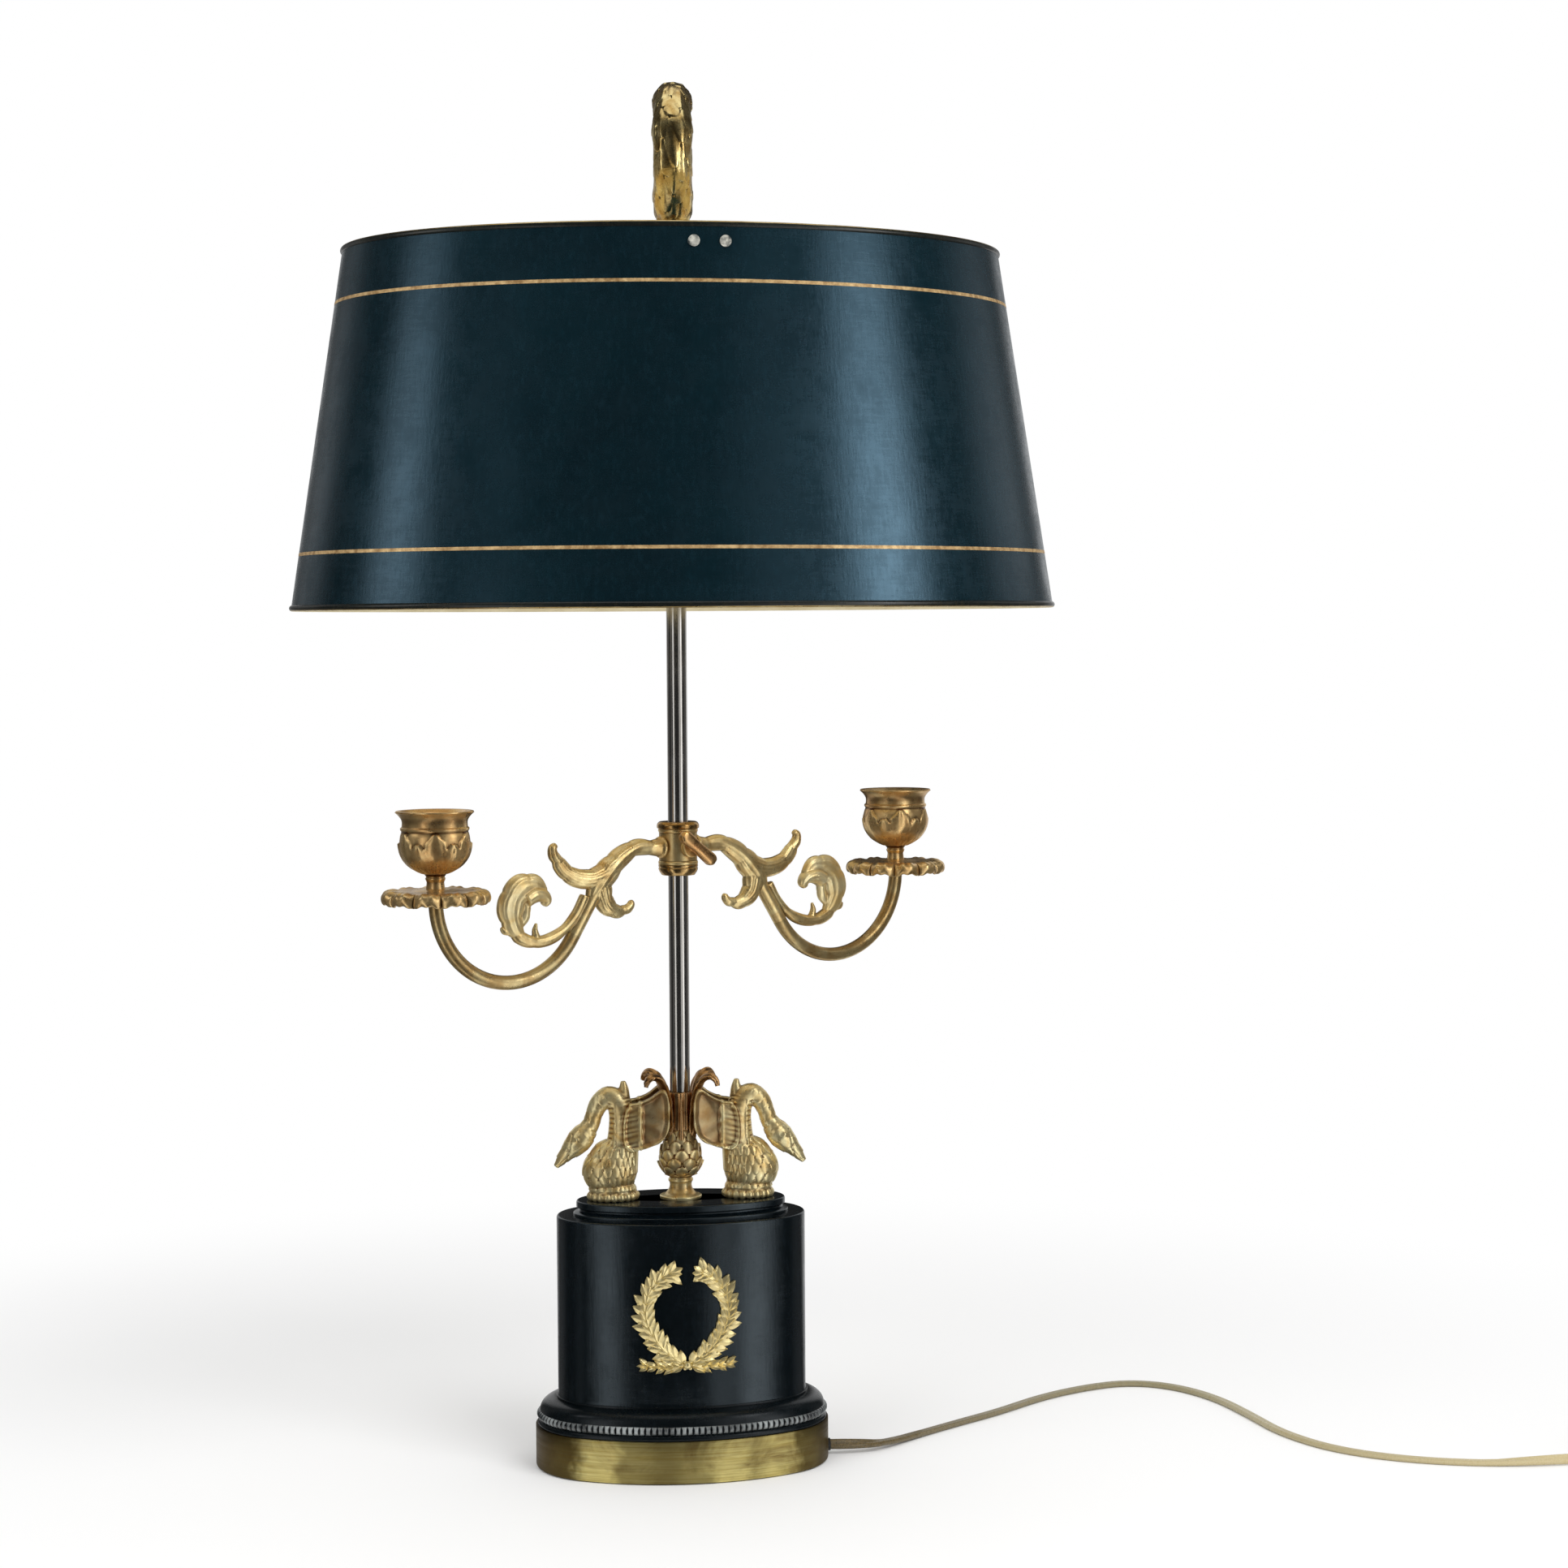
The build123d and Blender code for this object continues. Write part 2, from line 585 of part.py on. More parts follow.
with BuildPart() as arm_sleeve:
    with BuildSketch(Plane.XY.offset(SLEEVE_BOTTOM)):
        Circle(SLEEVE_R)
    extrude(amount=SLEEVE_TOP - SLEEVE_BOTTOM)
    with BuildSketch(Plane.XY.offset(SLEEVE_TOP - SLEEVE_LIP_H)):
        Circle(SLEEVE_LIP_R)
    extrude(amount=SLEEVE_LIP_H)
    lip_edges = arm_sleeve.edges().filter_by(GeomType.CIRCLE).sort_by(SortBy.RADIUS)[-2:]
    fillet(lip_edges, 0.3 * SLEEVE_LIP_H)
    drill_z(ROD_R + RUN_FIT, SLEEVE_BOTTOM, SLEEVE_TOP)
arm_sleeve.part.label = "arm_sleeve"
export_step(arm_sleeve.part, "parts/arm_sleeve.step")

with BuildPart() as sleeve_nut:
    turned(
        (SLEEVE_R + RUN_FIT, SLEEVE_BOTTOM),
        (SLEEVE_R + RING_NUT_WALL, SLEEVE_BOTTOM),
        (HUB_R, SLEEVE_BOTTOM + RING_NUT_H / 2),
        (HUB_R, SLEEVE_BOTTOM + RING_NUT_H),
        (SLEEVE_R + RUN_FIT, SLEEVE_BOTTOM + RING_NUT_H),
    )
sleeve_nut.part.label = "sleeve_nut"
export_step(sleeve_nut.part, "parts/sleeve_nut.step")

# Hub with its threaded boss towards -Y, before it is turned to its rest angle.
with BuildPart() as hub_pattern:
    with BuildSketch(Plane.XY.offset(hub_bottom)):
        Circle(HUB_R)
    extrude(amount=hub_top - hub_bottom)
    with BuildSketch(Plane.XZ):
        with Locations((0, ARM_Z)):
            Circle(BOSS_R)
    extrude(amount=BOSS_X)
    drill_z(SLEEVE_R + RUN_FIT, hub_bottom, hub_top)
    with BuildSketch(Plane.XZ):
        with Locations((0, ARM_Z)):
            Circle(SCREW_R + RUN_FIT)
    extrude(amount=2 * BOSS_X, mode=Mode.SUBTRACT)

with BuildPart() as arm_hub:
    add(hub_pattern.part, rotation=(0, 0, ARM_TURN))
arm_hub.part.label = "arm_hub"
export_step(arm_hub.part, "parts/arm_hub.step")

# Cast arm along +X: a shoulder arc, a straight drop and the bowl arc that carries the candle,
# with acanthus leaves above and below the shoulder and a scroll inside the bowl.
bowl_dz = ARM_SHOULDER_R - PAN_DROP
centres = hypot(ARM_RUN, bowl_dz)
drop_angle = degrees(asin((ARM_SHOULDER_R + ARM_BOWL_R) / centres) - atan2(bowl_dz, ARM_RUN))
drop_length = (centres**2 - (ARM_SHOULDER_R + ARM_BOWL_R) ** 2) ** 0.5


def arm_leaf(width, *curves):
    """Upright leaf from curves of points from the drop's top, in the part that calls it."""
    with BuildSketch(Plane.XZ.offset(-width / 2)) as leaf:
        with BuildLine() as outline:
            for curve in curves:
                points = [(leaf_root.X + along, leaf_root.Z + up) for along, up in curve]
                Spline(*points)
            Line(outline.line @ 1, outline.line @ 0)
        make_face(outline.edges())
    extrude(leaf.sketch, amount=width)


with BuildPart() as arm_pattern:
    with BuildLine(Plane.XZ) as arm_path:
        root = Line((HUB_R - ARM_ROOT_SINK, ARM_Z), (ARM_SHOULDER_X, ARM_Z))
        shoulder = JernArc(
            start=root @ 1, tangent=root % 1, radius=ARM_SHOULDER_R, arc_size=-drop_angle
        )
        drop = Line(shoulder @ 1, (shoulder @ 1) + (shoulder % 1) * drop_length)
        JernArc(start=drop @ 1, tangent=drop % 1, radius=ARM_BOWL_R, arc_size=90 + drop_angle)
    with BuildSketch(Plane.YZ.offset(HUB_R - ARM_ROOT_SINK)):
        with Locations((0, ARM_Z)):
            Circle(ARM_TUBE_R)
    sweep()
    with BuildSketch(Plane.YZ.offset(HUB_R - ARM_ROOT_SINK)):
        with Locations((0, ARM_Z)):
            Circle(ARM_ROOT_R)
    extrude(amount=ARM_ROOT_L, taper=ARM_ROOT_TAPER)
    leaf_root = drop @ 0
    scroll_foot = drop @ 0.62 - leaf_root
    scroll_fork = drop @ 0.3 - leaf_root
    arm_leaf(
        UP_LEAF_W,
        ((2.8, -9.5), (15.8, -9.0), (26.8, -4.0), (31.8, 4.0), (28.8, 12.5)),
        ((28.8, 12.5), (25.3, 4.5), (16.8, 0.5), (1.8, 3.0)),
    )
    arm_leaf(
        DOWN_LEAF_W,
        ((-2.2, -5.5), (-1.7, -15.5), (-6.2, -20.0), (-14.2, -19.0)),
        ((-14.2, -19.0), (-9.7, -24.5), (-3.2, -26.5), (3.8, -23.0), (10.8, -11.5)),
    )
    arm_leaf(
        SCROLL_W,
        (
            (scroll_foot.X, scroll_foot.Z), (21.8, -26.0), (31.8, -33.5), (43.8, -36.5),
            (54.8, -33.5), (62.8, -25.5), (65.8, -15.5),
        ),
        ((65.8, -15.5), (64.3, -5.5), (56.8, 1.0), (45.8, -0.5), (36.3, -7.0)),
        ((36.3, -7.0), (44.8, -9.5), (50.8, -15.0), (53.8, -23.5), (48.8, -29.0), (40.8, -30.0)),
        ((40.8, -30.0), (32.8, -27.5), (25.8, -20.5), (scroll_fork.X, scroll_fork.Z)),
    )
    with BuildSketch(Plane.XY.offset(PAN_Z)):
        with Locations((ARM_REACH, 0)):
            Circle(ARM_STUD_R)
    extrude(amount=PAN_CROWN + ARM_STUD_H)
    with BuildSketch(Plane.XY.offset(hub_bottom)):
        Circle(HUB_R)
    extrude(amount=hub_top - hub_bottom, mode=Mode.SUBTRACT)

with BuildPart() as pan_pattern:
    turned(
        (ARM_STUD_R + RUN_FIT, PAN_Z),
        (4.8, PAN_Z),
        (5.6, PAN_Z + 3.4),
        (16.0, PAN_Z + PAN_CROWN - PAN_T - 0.4),
        (22.0, PAN_Z + 2.4),
        (PAN_R - 1.4, PAN_Z - 1.6),
        (PAN_R, PAN_Z - 1.4),
        (23.2, PAN_Z + 3.8),
        (16.4, PAN_Z + PAN_CROWN - 0.4),
        (5.0, PAN_Z + PAN_CROWN),
        (ARM_STUD_R + RUN_FIT, PAN_Z + PAN_CROWN),
    )

cup_floor = CUP_TOP - CANDLE_DEPTH
with BuildPart() as cup_pattern:
    with BuildSketch(Plane.XZ):
        with BuildLine():
            Polyline(
                (0, CUP_FOOT_Z),
                (4.4, CUP_FOOT_Z),
                (4.6, CUP_FOOT_Z + 5.4),
                (6.0, CUP_FOOT_Z + 7.4),
            )
            Spline(
                (6.0, CUP_FOOT_Z + 7.4),
                (12.4, CUP_FOOT_Z + 11.0),
                (16.2, CUP_FOOT_Z + 17.4),
                (16.8, CUP_FOOT_Z + 23.2),
                (15.8, CUP_TOP - 5.2),
            )
            Polyline(
                (15.8, CUP_TOP - 5.2),
                (15.8, CUP_TOP - 3.2),
                (CUP_LIP_R, CUP_TOP - 1.2),
                (CUP_LIP_R, CUP_TOP),
                (CUP_LIP_R - 1.6, CUP_TOP),
                (CANDLE_R, CUP_TOP - CUP_MOUTH_H),
                (CANDLE_R, cup_floor),
                (0, cup_floor),
                (0, CUP_FOOT_Z),
            )
        make_face()
    revolve(axis=Axis.Z)
    drill_z(ARM_STUD_R + RUN_FIT, CUP_FOOT_Z, CUP_FOOT_Z + ARM_STUD_H + CLEAR)

for side, turn in (("left", ARM_TURN + 180), ("right", ARM_TURN)):
    cup_axis = Location(
        (ARM_REACH * cos(radians(turn)), ARM_REACH * sin(radians(turn)), 0), (0, 0, turn)
    )
    with BuildPart() as arm:
        add(arm_pattern.part, rotation=(0, 0, turn))
    arm.part.label = f"arm_{side}"
    export_step(arm.part, f"parts/arm_{side}.step")

    with BuildPart() as drip_pan:
        with Locations(cup_axis):
            add(pan_pattern.part)
    drip_pan.part.label = f"drip_pan_{side}"
    export_step(drip_pan.part, f"parts/drip_pan_{side}.step")

    with BuildPart() as candle_cup:
        with Locations(cup_axis):
            add(cup_pattern.part)
    candle_cup.part.label = f"candle_cup_{side}"
    export_step(candle_cup.part, f"parts/candle_cup_{side}.step")


def thumbscrew(tip_x):
    """Stem along +X from its tip, a shoulder, and a wing across it, in the part that calls it."""
    with BuildSketch(Plane.YZ.offset(tip_x)) as stem:
        Circle(SCREW_R)
    extrude(stem.sketch, amount=WING_X - tip_x)
    with BuildSketch(Plane.YZ.offset(BOSS_X + FACE_PLAY)) as shoulder_disc:
        Circle(SCREW_SHOULDER_R)
    extrude(shoulder_disc.sketch, amount=WING_X - BOSS_X)
    wing_plane = Plane((WING_X - WING_T / 2, 0, 0), x_dir=(0, 1, 0), z_dir=(1, 0, 0))
    with BuildSketch(wing_plane.rotated((90 + WING_TURN, 0, 0))) as wing:
        SlotOverall(WING_L, WING_W)
    extrude(wing.sketch, amount=WING_T)


with BuildPart() as arm_screw_pattern:
    thumbscrew(SLEEVE_R + CLEAR)

with BuildPart() as arm_thumbscrew:
    with Locations(Location((0, 0, ARM_Z), (0, 0, ARM_TURN - 90))):
        add(arm_screw_pattern.part)
arm_thumbscrew.part.label = "arm_thumbscrew"
export_step(arm_thumbscrew.part, "parts/arm_thumbscrew.step")

# ================================================================ shade and its slider
shell_bottom = SHADE_BOTTOM + RIM_H
shell_top = SHADE_TOP - RIM_H
spider_top = SLIDER_SHOULDER + FACE_PLAY + SPIDER_HUB_H
rivet_z = SHADE_TOP - RIVET_DROP


def shade_plane(z):
    """Level plane at a height, turned as the shade is."""
    return Plane.XY.offset(z).rotated((0, 0, SHADE_TURN))


def shade_half_axes(z, inset):
    """Half axes of the shade's slant at a height, inset from its rims' edge."""
    share = (z - shell_bottom) / (shell_top - shell_bottom)
    half_x = SHADE_BOTTOM_X + share * (SHADE_TOP_X - SHADE_BOTTOM_X) - inset
    half_y = SHADE_BOTTOM_Y + share * (SHADE_TOP_Y - SHADE_BOTTOM_Y) - inset
    return half_x, half_y


def shade_space(inset, top, mode):
    """Space inside the shade's slant up to a height, in the part that calls it."""
    with BuildSketch(shade_plane(shell_bottom)) as low:
        Ellipse(*shade_half_axes(shell_bottom, inset))
    with BuildSketch(shade_plane(top)) as high:
        Ellipse(*shade_half_axes(top, inset))
    loft(sections=[low.sketch, high.sketch], mode=mode)


def rivet_holes():
    """Holes for the four rivets, in the part that calls it."""
    with BuildSketch(Plane.XZ.rotated((0, 0, SHADE_TURN))) as holes:
        with Locations((-RIVET_PITCH / 2, rivet_z), (RIVET_PITCH / 2, rivet_z)):
            Circle(RIVET_R + RUN_FIT)
    extrude(holes.sketch, amount=2 * SHADE_TOP_Y, both=True, mode=Mode.SUBTRACT)


with BuildPart() as shade_shell:
    shade_space(RIM_LEDGE, shell_top, Mode.ADD)
    shade_space(RIM_LEDGE + SHADE_WALL, shell_top, Mode.SUBTRACT)
    rivet_holes()
shade_shell.part.label = "shade_shell"
export_step(shade_shell.part, "parts/shade_shell.step")

for rim_name, rim_z, rim_x, rim_y in (
    ("shade_bottom_rim", SHADE_BOTTOM, SHADE_BOTTOM_X, SHADE_BOTTOM_Y),
    ("shade_top_rim", shell_top, SHADE_TOP_X, SHADE_TOP_Y),
):
    rim_in = RIM_LEDGE + SHADE_WALL + RIM_LEDGE / 2
    with BuildPart() as shade_rim:
        with BuildSketch(shade_plane(rim_z)):
            Ellipse(rim_x, rim_y)
            Ellipse(rim_x - rim_in, rim_y - rim_in, mode=Mode.SUBTRACT)
        extrude(amount=RIM_H)
        fillet(shade_rim.edges().filter_by(GeomType.ELLIPSE), 0.3 * RIM_H)
    shade_rim.part.label = rim_name
    export_step(shade_rim.part, f"parts/{rim_name}.step")

with BuildPart() as shade_spider:
    with BuildSketch(shade_plane(rivet_z - SPIDER_TAB_H / 2)):
        Rectangle(SPIDER_W, 2 * SHADE_BOTTOM_Y)
    extrude(amount=spider_top - rivet_z + SPIDER_TAB_H / 2)
    shade_space(RIM_LEDGE + SHADE_WALL, shell_top, Mode.INTERSECT)
    shade_space(RIM_LEDGE + SHADE_WALL + SPIDER_T, spider_top - SPIDER_T, Mode.SUBTRACT)
    with BuildSketch(Plane.XY.offset(SLIDER_SHOULDER + FACE_PLAY)):
        Circle(SPIDER_HUB_R)
    extrude(amount=SPIDER_HUB_H)
    drill_z(SLEEVE_R + RUN_FIT, SLIDER_SHOULDER, spider_top)
    rivet_holes()
shade_spider.part.label = "shade_spider"
export_step(shade_spider.part, "parts/shade_spider.step")

# Rivets through the shell and the spider's end tabs, along the shade's short axis.
wall_y = shade_half_axes(rivet_z, RIM_LEDGE)[1]
shank_in = SHADE_WALL + SPIDER_T + 2 * RIVET_HEAD_H
with BuildPart() as shade_rivets:
    for face in (-1, 1):
        rivet_plane = Plane.XZ.rotated((0, 0, SHADE_TURN)).offset(face * (wall_y + RIVET_HEAD_H))
        with BuildSketch(rivet_plane):
            with Locations((-RIVET_PITCH / 2, rivet_z), (RIVET_PITCH / 2, rivet_z)):
                Circle(RIVET_HEAD_R)
        extrude(amount=-face * 2 * RIVET_HEAD_H)
    shade_space(RIM_LEDGE, shell_top, Mode.SUBTRACT)
    for face in (-1, 1):
        rivet_plane = Plane.XZ.rotated((0, 0, SHADE_TURN)).offset(face * (wall_y + RIVET_HEAD_H / 2))
        with BuildSketch(rivet_plane):
            with Locations((-RIVET_PITCH / 2, rivet_z), (RIVET_PITCH / 2, rivet_z)):
                Circle(RIVET_R)
        extrude(amount=-face * shank_in)
shade_rivets.part.label = "shade_rivets"
export_step(shade_rivets.part, "parts/shade_rivets.step")

with BuildPart() as slider_pattern:
    with BuildSketch(Plane.XY.offset(SLIDER_BOTTOM)):
        Circle(SLIDER_R)
    extrude(amount=SLIDER_SHOULDER - SLIDER_BOTTOM)
    with BuildSketch(Plane.XY.offset(SLIDER_SHOULDER)):
        Circle(SLEEVE_R)
    extrude(amount=SPIDER_HUB_H + 2 * FACE_PLAY + SLIDER_NUT_H)
    with BuildSketch(Plane.YZ):
        with Locations((0, SLIDER_SCREW_Z)):
            Circle(BOSS_R)
    extrude(amount=BOSS_X)
    drill_z(ROD_R + RUN_FIT, SLIDER_BOTTOM, SHADE_TOP)
    drill_x(SCREW_R + RUN_FIT, 0, 2 * BOSS_X, SLIDER_SCREW_Z)

with BuildPart() as shade_slider:
    add(slider_pattern.part, rotation=(0, 0, SLIDER_SCREW_TURN))
shade_slider.part.label = "shade_slider"
export_step(shade_slider.part, "parts/shade_slider.step")

with BuildPart() as slider_nut:
    with BuildSketch(Plane.XY.offset(spider_top + FACE_PLAY)):
        Circle(SLIDER_R)
        Circle(SLEEVE_R + RUN_FIT, mode=Mode.SUBTRACT)
    extrude(amount=SLIDER_NUT_H)
slider_nut.part.label = "slider_nut"
export_step(slider_nut.part, "parts/slider_nut.step")

with BuildPart() as slider_screw_pattern:
    thumbscrew(ROD_R + CLEAR)

with BuildPart() as shade_thumbscrew:
    with Locations(Location((0, 0, SLIDER_SCREW_Z), (0, 0, SLIDER_SCREW_TURN))):
        add(slider_screw_pattern.part)
shade_thumbscrew.part.label = "shade_thumbscrew"
export_step(shade_thumbscrew.part, "parts/shade_thumbscrew.step")

# ================================================================ lamp cluster
holder_bottom = CLUSTER_Z - HOLDER_FLOOR + HOLDER_RISE
holder_seat = holder_bottom + HOLDER_FLOOR
cap_top = holder_seat + CAP_H

with BuildPart() as cluster_body:
    with BuildSketch(Plane.XY.offset(CLUSTER_Z - CLUSTER_H / 2)):
        Circle(CLUSTER_R)
    extrude(amount=CLUSTER_H)
    fillet(cluster_body.edges().filter_by(GeomType.CIRCLE), CLUSTER_EDGE_R)
    with BuildSketch(Plane.YZ.offset(-HOLDER_X)):
        with Locations((0, CLUSTER_Z)):
            Circle(CLUSTER_TUBE_R)
    extrude(amount=2 * HOLDER_X)
    drill_z(ROD_R + SEAT_FIT, CLUSTER_Z - CLUSTER_H, CLUSTER_Z + CLUSTER_H)
    for side in (-1, 1):
        drill_z(HOLDER_R, CLUSTER_Z - CLUSTER_H, CLUSTER_Z + CLUSTER_H, x=side * HOLDER_X)
    drill_x(LEAD_R + SEAT_FIT, -HOLDER_X, 2 * HOLDER_X, CLUSTER_Z)
    with BuildSketch(Plane.XZ.offset(CLUSTER_R - KNOB_SHAFT_L)):
        with Locations((0, CLUSTER_Z)):
            Circle(KNOB_SHAFT_R + RUN_FIT)
    extrude(amount=2 * KNOB_SHAFT_L, mode=Mode.SUBTRACT)
cluster_body.part.label = "cluster_body"
export_step(cluster_body.part, "parts/cluster_body.step")

with BuildPart() as lamp_leads:
    for side in (-1, 1):
        with BuildSketch(Plane.YZ.offset(side * FLEX_R)):
            with Locations((0, CLUSTER_Z)):
                Circle(LEAD_R)
        extrude(amount=side * (HOLDER_X - HOLDER_R - FLEX_R))
lamp_leads.part.label = "lamp_leads"
export_step(lamp_leads.part, "parts/lamp_leads.step")

for side, holder_x in (("left", -HOLDER_X), ("right", HOLDER_X)):
    with BuildPart() as lamp_holder:
        with BuildSketch(Plane.XY.offset(holder_bottom)):
            with Locations((holder_x, 0)):
                Circle(HOLDER_R)
        extrude(amount=HOLDER_H)
        drill_z(HOLDER_R - HOLDER_WALL, holder_seat, holder_bottom + HOLDER_H, x=holder_x)
    lamp_holder.part.label = f"lamp_holder_{side}"
    export_step(lamp_holder.part, f"parts/lamp_holder_{side}.step")

    with BuildPart() as bulb_cap:
        with BuildSketch(Plane.XY.offset(holder_seat)):
            with Locations((holder_x, 0)):
                Circle(CAP_R)
        extrude(amount=CAP_H)
    bulb_cap.part.label = f"bulb_cap_{side}"
    export_step(bulb_cap.part, f"parts/bulb_cap_{side}.step")

    bulb_centre_z = cap_top + BULB_H - BULB_R
    neck_join_r = 0.7 * BULB_R
    neck_join_z = bulb_centre_z - (BULB_R**2 - neck_join_r**2) ** 0.5
    with BuildPart() as bulb_glass:
        with BuildSketch(Plane.XZ):
            with BuildLine():
                Polyline(
                    (holder_x, cap_top + BULB_H),
                    (holder_x, cap_top),
                    (holder_x + BULB_NECK_R, cap_top),
                    (holder_x + BULB_NECK_R, cap_top + BULB_NECK_H),
                    (holder_x + neck_join_r, neck_join_z),
                )
                ThreePointArc(
                    (holder_x + neck_join_r, neck_join_z),
                    (holder_x + BULB_R, bulb_centre_z),
                    (holder_x, cap_top + BULB_H),
                )
            make_face()
        revolve(axis=Axis((holder_x, 0, 0), (0, 0, 1)))
    bulb_glass.part.label = f"bulb_glass_{side}"
    export_step(bulb_glass.part, f"parts/bulb_glass_{side}.step")

with BuildPart() as switch_knob:
    with BuildSketch(Plane.XZ.offset(CLUSTER_R - KNOB_SHAFT_L + CLEAR)):
        with Locations((0, CLUSTER_Z)):
            Circle(KNOB_SHAFT_R)
    extrude(amount=KNOB_SHAFT_L)
    with BuildSketch(Plane.XZ.offset(CLUSTER_R + FACE_PLAY)):
        with Locations((0, CLUSTER_Z)):
            Circle(KNOB_R)
    extrude(amount=KNOB_L / 2)
    with BuildSketch(Plane.XZ.offset(CLUSTER_R + FACE_PLAY)):
        with Locations((0, CLUSTER_Z)):
            SlotOverall(2 * KNOB_R - KNOB_SHAFT_R, KNOB_SHAFT_R)
    extrude(amount=KNOB_L)
switch_knob.part.label = "switch_knob"
export_step(switch_knob.part, "parts/switch_knob.step")

# ================================================================ ring finial
ring_axis = Plane(
    (0, 0, RING_Z), z_dir=(cos(radians(FINIAL_TURN)), sin(radians(FINIAL_TURN)), 0)
)
with BuildPart() as ring_finial:
    with Locations(ring_axis.location):
        Torus(RING_MEAN_R, RING_TUBE_R)
    with BuildSketch(Plane.XY.offset(ROD_TOP_Z)):
        Circle(FINIAL_NECK_R)
    extrude(amount=RING_Z - RING_MEAN_R - ROD_TOP_Z)
    drill_z(SPIGOT_R + RUN_FIT, ROD_TOP_Z, ROD_TOP_Z + ROD_STUD_H + CLEAR)
ring_finial.part.label = "ring_finial"
export_step(ring_finial.part, "parts/ring_finial.step")

# ================================================================ cord
with BuildPart() as cord_grommet:
    with BuildSketch(Plane.YZ.offset(flex_start)):
        with Locations((0, CORD_Z)):
            Circle(GROMMET_R - RUN_FIT)
    extrude(amount=CORD_EXIT_X - flex_start)
cord_grommet.part.label = "cord_grommet"
export_step(cord_grommet.part, "parts/cord_grommet.step")


def bend_radii(route):
    """Largest arcs that the runs leave room for, one for each inner point."""
    radii = []
    for before, corner, after in zip(route, route[1:], route[2:]):
        run_in = Vector(*corner) - Vector(*before)
        run_out = Vector(*after) - Vector(*corner)
        half_turn = radians(run_in.get_angle(run_out)) / 2
        radii.append(0.45 * min(run_in.length, run_out.length) / tan(half_turn))
    return radii


cord_radii = bend_radii(CORD_ROUTE)
print("cord radii", [round(radius, 1) for radius in cord_radii])

with BuildPart() as cord_coil:
    with BuildSketch():
        with Locations(COIL_CENTRE):
            Circle(COIL_OUT_R)
            Circle(COIL_IN_R, mode=Mode.SUBTRACT)
    extrude(amount=COIL_H)
cord_coil.part.label = "cord_coil"
export_step(cord_coil.part, "parts/cord_coil.step")

with BuildPart() as cord:
    with BuildLine() as cord_path:
        FilletPolyline(*CORD_ROUTE, radius=cord_radii)
    with BuildSketch(Plane(cord_path.line @ 0, z_dir=cord_path.line % 0)):
        Circle(CORD_R)
    sweep()
    tube_length = sum(edge.length for edge in cord_path.edges())
    section = pi * CORD_R**2
    print("cord tube", round(tube_length, 1), "mm, volume over section x length")
    print(round(cord.part.volume / (section * tube_length), 4))
    add(cord_coil.part, mode=Mode.SUBTRACT)
cord.part.label = "cord"
export_step(cord.part, "parts/cord.step")

tail_x = COIL_CENTRE[0] + COIL_OUT_R - CORD_R
with BuildPart() as cord_tail:
    with BuildSketch(Plane.XZ.offset(-COIL_CENTRE[1])):
        with Locations((tail_x, CORD_R)):
            Circle(CORD_R)
    extrude(amount=-TAIL_L)
    add(cord_coil.part, mode=Mode.SUBTRACT)
cord_tail.part.label = "cord_tail"
export_step(cord_tail.part, "parts/cord_tail.step")

plug_y = COIL_CENTRE[1] + TAIL_L
with BuildPart() as plug_body:
    with BuildSketch():
        with Locations((tail_x, plug_y + PLUG_L / 2)):
            RectangleRounded(PLUG_W, PLUG_L, PLUG_CORNER_R)
    extrude(amount=PLUG_H)
    fillet(plug_body.faces().sort_by(Axis.Z)[-1].edges(), PLUG_EDGE_R)
plug_body.part.label = "plug_body"
export_step(plug_body.part, "parts/plug_body.step")

with BuildPart() as plug_blades:
    with BuildSketch(Plane.XZ.offset(-plug_y - PLUG_L)):
        with Locations(
            (tail_x - BLADE_PITCH / 2, PLUG_H / 2), (tail_x + BLADE_PITCH / 2, PLUG_H / 2)
        ):
            Rectangle(BLADE_T, BLADE_W)
    extrude(amount=-BLADE_L)
plug_blades.part.label = "plug_blades"
export_step(plug_blades.part, "parts/plug_blades.step")
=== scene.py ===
from math import atan2, cos, hypot, pi, radians, sin

import bmesh
import bpy
import numpy as np
from mathutils import Euler, Matrix, Vector


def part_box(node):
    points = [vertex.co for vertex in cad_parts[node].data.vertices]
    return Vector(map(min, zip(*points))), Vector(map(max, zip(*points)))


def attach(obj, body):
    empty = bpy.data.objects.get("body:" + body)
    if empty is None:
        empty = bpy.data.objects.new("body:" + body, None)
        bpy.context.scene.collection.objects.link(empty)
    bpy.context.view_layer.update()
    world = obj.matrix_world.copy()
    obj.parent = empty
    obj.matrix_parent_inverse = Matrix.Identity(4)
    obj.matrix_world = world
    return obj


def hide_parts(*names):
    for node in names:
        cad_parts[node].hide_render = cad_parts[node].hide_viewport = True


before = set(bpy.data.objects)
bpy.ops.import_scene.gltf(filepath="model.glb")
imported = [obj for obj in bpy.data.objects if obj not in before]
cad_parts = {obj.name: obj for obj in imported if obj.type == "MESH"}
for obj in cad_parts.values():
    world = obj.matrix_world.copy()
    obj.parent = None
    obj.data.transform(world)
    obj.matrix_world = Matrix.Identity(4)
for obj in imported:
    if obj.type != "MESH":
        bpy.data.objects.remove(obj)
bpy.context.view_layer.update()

# Bouillotte lamp. Lengths are in millimetres up to the moment a mesh is made, in the frame of
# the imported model: Z up, X along the oval pedestal, -Y its front, the rod on the Z axis.
MM = 0.001
rng = np.random.default_rng(11)


# ================================================================ numbers taken from the frame
def low(node):
    """Lowest corner of a node's box, in millimetres."""
    return np.array(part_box(node)[0]) / MM


def high(node):
    """Highest corner of a node's box, in millimetres."""
    return np.array(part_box(node)[1]) / MM


